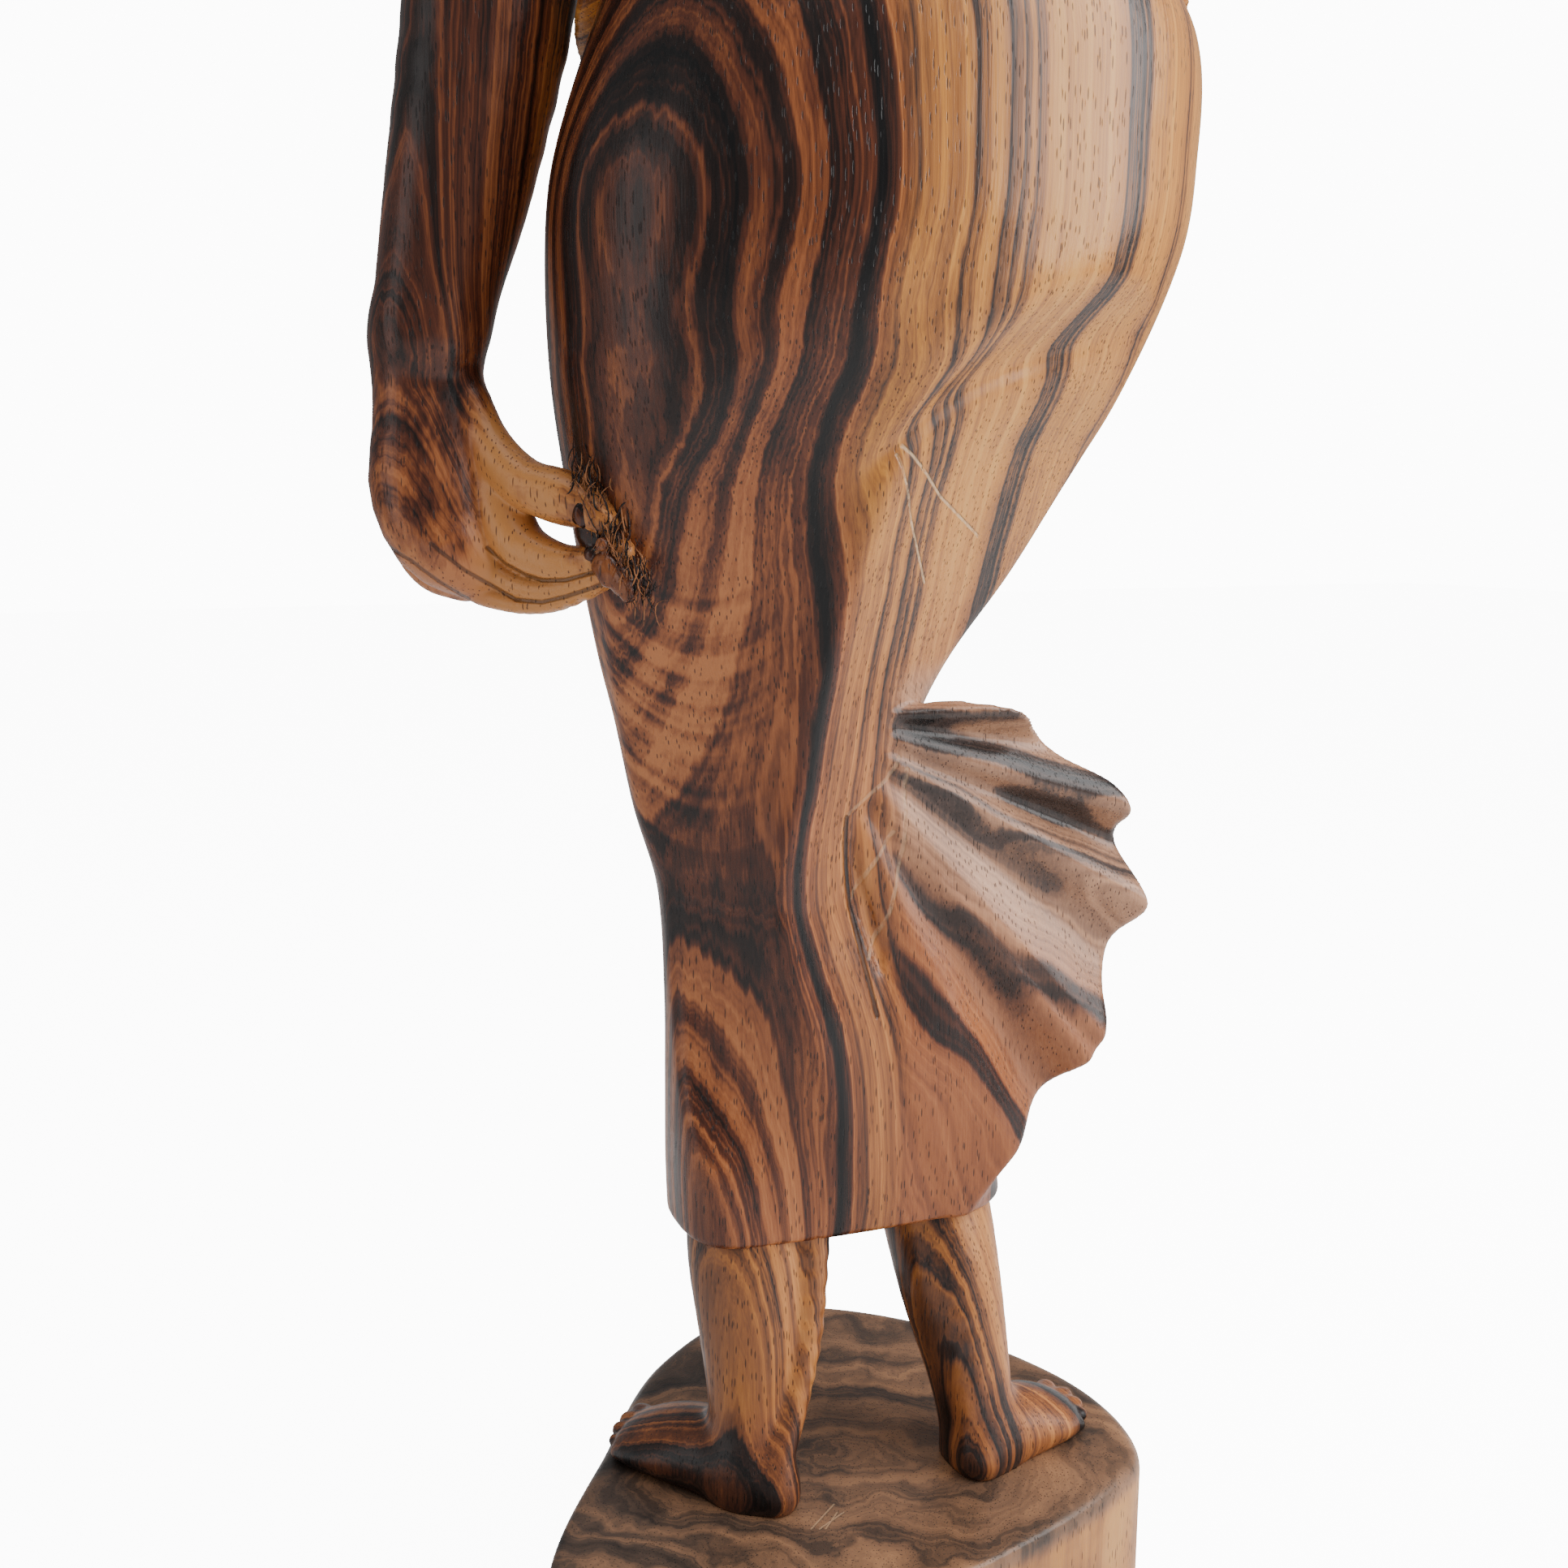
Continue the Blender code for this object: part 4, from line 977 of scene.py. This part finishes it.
def carve_head():
    block = Block((-20, -27, 306), (22, 26, 374), 0.5)
    c = HEAD_X
    block.limb(NECK, samples=10, joints=2.0)
    # skull, face and chin
    block.ball((c, 1, 352, 16.2, 19.5, 18.8), blend=3)
    block.ball((c, -7, 341, 12.6, 12, 13.5), blend=4)
    block.ball((c, -13.6, 331.6, 5.8, 5.6, 4.9), blend=4)
    # on each side: cheek, eye socket, brow, lowered eyelid and its edge, nostril, ear and lobe
    for side in (-1, 1):
        block.ball((c + side * 8.6, -11, 341.5, 4.6, 4.6, 4.4), blend=4)
        block.ball((c + side * 6.9, -18.4, 348.4, 4.6, 3.4, 3.0), blend=2.2, carve=True)
        block.limb([(c + side * 2.8, -18.2, 352, 1.0, 1.1), (c + side * 7, -17.4, 353.8, 0.9, 1.1),
                    (c + side * 12, -13.6, 352.2, 0.8, 1.0)], blend=1.6, samples=8)
        block.ball((c + side * 6.8, -14.4, 348.3, 4.2, 2.9, 2.3), blend=0.5)
        block.limb([(c + side * 3.2, -16.7, 347.9, 0.22, 0.22), (c + side * 6.8, -17.6, 347.1, 0.22, 0.22),
                    (c + side * 10.6, -15.2, 348, 0.22, 0.22)], blend=0.3, samples=10, carve=True)
        block.ball((c + side * 2.5, -19.3, 341.7, 1.6, 1.9, 1.4), blend=0.7)
        block.ball((c + side * 16.4, 2, 346, 2.0, 3.8, 6.4), blend=0.8)
        block.ball((c + side * 18.0, 1.6, 346.6, 1.0, 2.3, 4.3), blend=0.6, carve=True)
        block.ball((c + side * 16.6, 1.0, 340.4, 1.4, 1.9, 1.9), blend=0.8)
    # bridge and tip of the nose
    block.limb([(c, -17.2, 352.5, 1.7, 1.6), (c, -19.4, 347, 1.8, 1.7), (c, -20.8, 343, 2.2, 2.0)],
               blend=1.4, samples=8)
    block.ball((c, -21.0, 342.4, 2.2, 2.1, 1.9), blend=0.8)
    # upper lip, lower lip and the line between them
    block.limb([(c - 4.6, -16.6, 336.8, 0.5, 0.5), (c - 1.4, -18.5, 337.5, 0.9, 0.9),
                (c, -18.5, 337.0, 0.9, 0.9), (c + 1.4, -18.5, 337.5, 0.9, 0.9),
                (c + 4.6, -16.6, 336.8, 0.5, 0.5)], blend=0.6, samples=16)
    block.limb([(c - 4.0, -16.6, 335.8, 0.5, 0.5), (c, -18.3, 335.0, 1.2, 1.1),
                (c + 4.0, -16.6, 335.8, 0.5, 0.5)], blend=0.6, samples=12)
    block.limb([(c - 4.4, -17.6, 336.3, 0.2, 0.2), (c, -19.4, 336.2, 0.22, 0.22),
                (c + 4.4, -17.6, 336.3, 0.2, 0.2)], blend=0.25, samples=12, carve=True)
    return block


def carve_hair():
    block = Block((-20, -18, 334), (22, 27, 376), 0.5)
    block.ball(HAIR_MASS)

    def combed(x, y, h):
        turn = np.arctan2(x - HEAD_X, h - 351)
        rim = np.sqrt((x - HEAD_X) ** 2 + (h - 351) ** 2)
        return 0.32 * np.cos(turn * 56 + 1.2 * np.sin(turn * 7)) * smooth_step(3, 9, rim)

    block.shift(combed)
    return block


def carve_bun():
    block = Block((-15, 16, 337), (17, 42, 367), 0.45)
    block.ball(BUN_MASS)

    def coiled(x, y, h):
        turn = np.arctan2(x - HEAD_X, h - BUN_MASS[2])
        rim = np.sqrt((x - HEAD_X) ** 2 + (h - BUN_MASS[2]) ** 2)
        lane = rim / 3.6 + turn / (2 * math.pi)
        strand = np.cos(2 * math.pi * (rim / 0.9 + turn * 2 / (2 * math.pi)))
        return -0.9 * (0.5 + 0.5 * np.cos(2 * math.pi * lane)) ** 3 + 0.08 * strand

    block.shift(coiled)
    return block


def carve_glue():
    block = Block((19, -6, 137), (42, 20, 169), 0.35)
    block.ball(GLUE_MASS)
    rng = random.Random(7)
    for i in range(46):
        share = i / 45
        spot = (33.5 - 5.5 * share + rng.uniform(-2.2, 2.2), 6.5 + 5.5 * share + rng.uniform(-1.6, 1.6),
                158 - 13 * share + rng.uniform(-1.8, 1.8))
        size = rng.uniform(0.7, 1.7)
        block.ball((*spot, size, size * rng.uniform(0.6, 1.1), size * rng.uniform(0.8, 1.6)), blend=0.5)
    return block


def torn_fibres(name, count, seed, material, thickness):
    """Splinters torn up where the thumb and the fingertips were glued to the thigh."""
    rng = random.Random(seed)
    verts, faces = [], []
    sides, steps = 4, 6
    for _ in range(count):
        share = rng.random()
        spot = Vector((33.8 - 6.8 * share + rng.uniform(-2.2, 1.8),
                       7.6 + 6.3 * share + rng.uniform(-1.2, 2.2),
                       161 - 17 * share + rng.uniform(-2.6, 2.6)))
        heading = Vector((rng.uniform(-0.5, 0.5), rng.uniform(-0.1, 0.5), rng.choice((-1, 1)))).normalized()
        curl = Vector((rng.uniform(-1, 1), rng.uniform(-0.4, 1), rng.uniform(-1, 1))) * rng.uniform(0.3, 1.4)
        length = rng.uniform(1.2, 4.4)
        width = thickness * rng.uniform(0.6, 1.5)
        first = len(verts)
        for k in range(steps + 1):
            t = k / steps
            centre = spot + heading * length * (t - 0.5) + curl * length * 0.35 * (t - 0.5) ** 2 * 4
            across = heading.cross(Vector((0.3, 0.9, 0.1))).normalized()
            lift = across.cross(heading)
            size = width * (1 - abs(2 * t - 1) ** 3 * 0.85)
            for i in range(sides):
                a = 2 * math.pi * i / sides
                verts.append(centre + across * math.cos(a) * size + lift * math.sin(a) * size * 0.5)
        for k in range(steps):
            for i in range(sides):
                j = (i + 1) % sides
                low_ring = first + k * sides
                faces.append((low_ring + i, low_ring + j, low_ring + sides + j, low_ring + sides + i))
        faces.append(tuple(first + i for i in range(sides))[::-1])
        faces.append(tuple(first + steps * sides + i for i in range(sides)))
    return to_object(name, np.array(verts), np.array(faces), material, [])


striped = ring_wood("striped_rosewood")
sarong_wood = ring_wood("striped_rosewood_with_train", gloss=0.29, train=True, marks=sarong_marks)
hand_wood = ring_wood("striped_rosewood_of_the_arm", gloss=0.3, marks=finger_crease_shade, local=hand_tone, calm=0.7)
leg_wood = ring_wood("striped_rosewood_of_the_legs", dark=-0.06, local=leg_tone_and_foot_shade)
base_wood = plinth_wood("polished_base_rosewood")
head_wood = ring_wood("striped_rosewood_of_the_head", dark=-0.14, calm=0.85)
hair_wood = ring_wood("dark_hair_rosewood", tint=(0.34, 0.29, 0.28, 1), dark=0.1, gloss=0.4, calm=0.8)
# torn fibres painted pale bluish-white: partly fresh torn wood, partly painted highlight
pale_splinter_and_highlight = ring_wood("pale_splinters_with_highlight", tint=(0.72, 0.78, 0.86, 1), dark=-0.5, gloss=0.4)
dark_splinter = ring_wood("dark_splinters", tint=(0.5, 0.46, 0.42, 1), dark=0.25, gloss=0.3)
glue = ring_wood("hard_old_glue", tint=(0.62, 0.60, 0.62, 1), dark=0.08, gloss=0.10)

LEFT_LEG_SHAPE = (LEFT_LEG, LEFT_ACHILLES, LEFT_FOOT, LEFT_TOES)
RIGHT_LEG_SHAPE = (RIGHT_LEG, RIGHT_ACHILLES, RIGHT_FOOT, RIGHT_TOES)
LEFT_SLEEVE_SHAPE = (LEFT_SLEEVE, LEFT_SHOULDER, (10, -28, 246), (56, 18, 320))
RIGHT_SLEEVE_SHAPE = (RIGHT_SLEEVE, RIGHT_SHOULDER, (-64, -18, 256), (-12, 20, 320))
# name, how it is carved and from what, wood, slot, nodes of the solid model that it stands for
PIECES = [
    ("carved_plinth", carve_plinth, (), base_wood, "polished_base_wood", ["plinth"]),
    ("sarong_with_train", carve_sarong, (), sarong_wood, "striped_wood", ["sarong", "sarong_train"]),
    ("left_leg_and_foot", carve_leg, LEFT_LEG_SHAPE, leg_wood, "striped_wood", ["left_leg"]),
    ("right_leg_and_foot", carve_leg, RIGHT_LEG_SHAPE, leg_wood, "striped_wood", ["right_leg"]),
    ("left_arm_and_hand", carve_left_arm, (), hand_wood, "striped_wood", ["left_arm"]),
    ("right_arm_and_hand", carve_right_arm, (), striped, "striped_wood", ["right_arm"]),
    ("fitted_jacket", carve_jacket, (), striped, "striped_wood", ["jacket"]),
    ("left_sleeve_cloth", carve_sleeve, LEFT_SLEEVE_SHAPE, striped, "striped_wood", ["left_sleeve"]),
    ("right_sleeve_cloth", carve_sleeve, RIGHT_SLEEVE_SHAPE, striped, "striped_wood", ["right_sleeve"]),
    ("head_and_neck", carve_head, (), head_wood, "striped_wood", ["head"]),
    ("combed_hair", carve_hair, (), hair_wood, "dark_hair_wood", ["hair"]),
    ("coiled_bun", carve_bun, (), hair_wood, "dark_hair_wood", ["hair_bun"]),
    ("glue_lump", carve_glue, (), glue, "old_glue", ["glue_bead"]),
]
for name, carve, shape, material, slot, nodes in PIECES:
    points, faces = skin(carve(*shape))
    to_object(name, points, faces, material, nodes)
torn_fibres("torn_fibres_dark", 260, 11, dark_splinter, 0.10)
torn_fibres("torn_fibres_pale", 170, 12, pale_splinter_and_highlight, 0.085)


# ---------------------------------------------------------------- floor, light and camera

FLOOR_REACH = 3.0
FLOOR_GLOW = 11
WORLD_GLOW = 12                     # as the camera sees it
WORLD_LIGHT = 0.3                   # as it lights the figure
AXIS = Vector((FIGURE_X, FIGURE_Y, PLINTH_TOP))
AZIMUTH = math.radians(158)
PITCH = math.radians(10)
CAMERA_AWAY = 0.237
CAMERA_UP = 0.155
LENS = 35.4
SENSOR = 36


def area_light(name, place, target, size, power):
    light = bpy.data.lights.new(name, "AREA")
    light.shape = "RECTANGLE"
    light.size, light.size_y = size
    light.energy = power
    obj = bpy.data.objects.new(name, light)
    bpy.context.scene.collection.objects.link(obj)
    obj.location = place
    obj.rotation_euler = (target - place).to_track_quat("-Z", "Y").to_euler()


def make_floor():
    """A wide pale floor that glows for the camera only."""
    mesh = bpy.data.meshes.new("floor")
    r = FLOOR_REACH
    mesh.from_pydata([(-r, -r, 0), (r, -r, 0), (r, r, 0), (-r, r, 0)], [], [(0, 1, 2, 3)])
    floor = bpy.data.objects.new("floor", mesh)
    bpy.context.scene.collection.objects.link(floor)
    t = Tree("pale_floor")
    seen = t.make("LightPath").outputs["Is Camera Ray"]
    look = {"Base Color": (0.88, 0.88, 0.88, 1), "Roughness": 0.9, "Emission Color": (1, 1, 1, 1),
            "Emission Strength": t.math("MULTIPLY", seen, FLOOR_GLOW)}
    for place, value in look.items():
        t.put(t.shader.inputs[place], value)
    mesh.materials.append(t.material)


camera_data = bpy.data.cameras.new("camera")
camera_data.lens = LENS
camera_data.sensor_width = SENSOR
camera_data.clip_start = 0.01
camera = bpy.data.objects.new("camera", camera_data)
bpy.context.scene.collection.objects.link(camera)
forward = Vector((-math.sin(AZIMUTH) * math.cos(PITCH), math.cos(AZIMUTH) * math.cos(PITCH),
                  -math.sin(PITCH)))
right = forward.cross(Vector((0, 0, 1))).normalized()
up = right.cross(forward)
place = AXIS + Vector((math.sin(AZIMUTH) * CAMERA_AWAY, -math.cos(AZIMUTH) * CAMERA_AWAY, CAMERA_UP))
camera.matrix_world = Matrix.Translation(place) @ Matrix((right, up, -forward)).transposed().to_4x4()
bpy.context.scene.camera = camera

level_right = Vector((right.x, right.y, 0)).normalized()
toward_camera = Vector((-forward.x, -forward.y, 0)).normalized()
knees = AXIS + Vector((0, 0, 0.14))


def around(to_right, to_camera, height):
    return AXIS + level_right * to_right + toward_camera * to_camera + Vector((0, 0, height))


area_light("window_light", around(0.55, 0.15, 0.42), knees, (0.5, 0.7), 6.5)
area_light("sky_light", around(0.1, 0.1, 0.9), knees, (0.9, 0.9), 5)
area_light("left_fill", around(-0.6, 0.35, 0.25), knees, (0.3, 0.6), 0.8)
world = bpy.data.worlds.new("studio")
world.use_nodes = True
nodes = world.node_tree.nodes
seen = nodes.new("ShaderNodeLightPath").outputs["Is Camera Ray"]
brightness = nodes.new("ShaderNodeMapRange")
world.node_tree.links.new(seen, brightness.inputs["Value"])
brightness.inputs["To Min"].default_value = WORLD_LIGHT
brightness.inputs["To Max"].default_value = WORLD_GLOW
nodes["Background"].inputs["Color"].default_value = (1, 1, 1, 1)
world.node_tree.links.new(brightness.outputs["Result"], nodes["Background"].inputs["Strength"])
bpy.context.scene.world = world
make_floor()
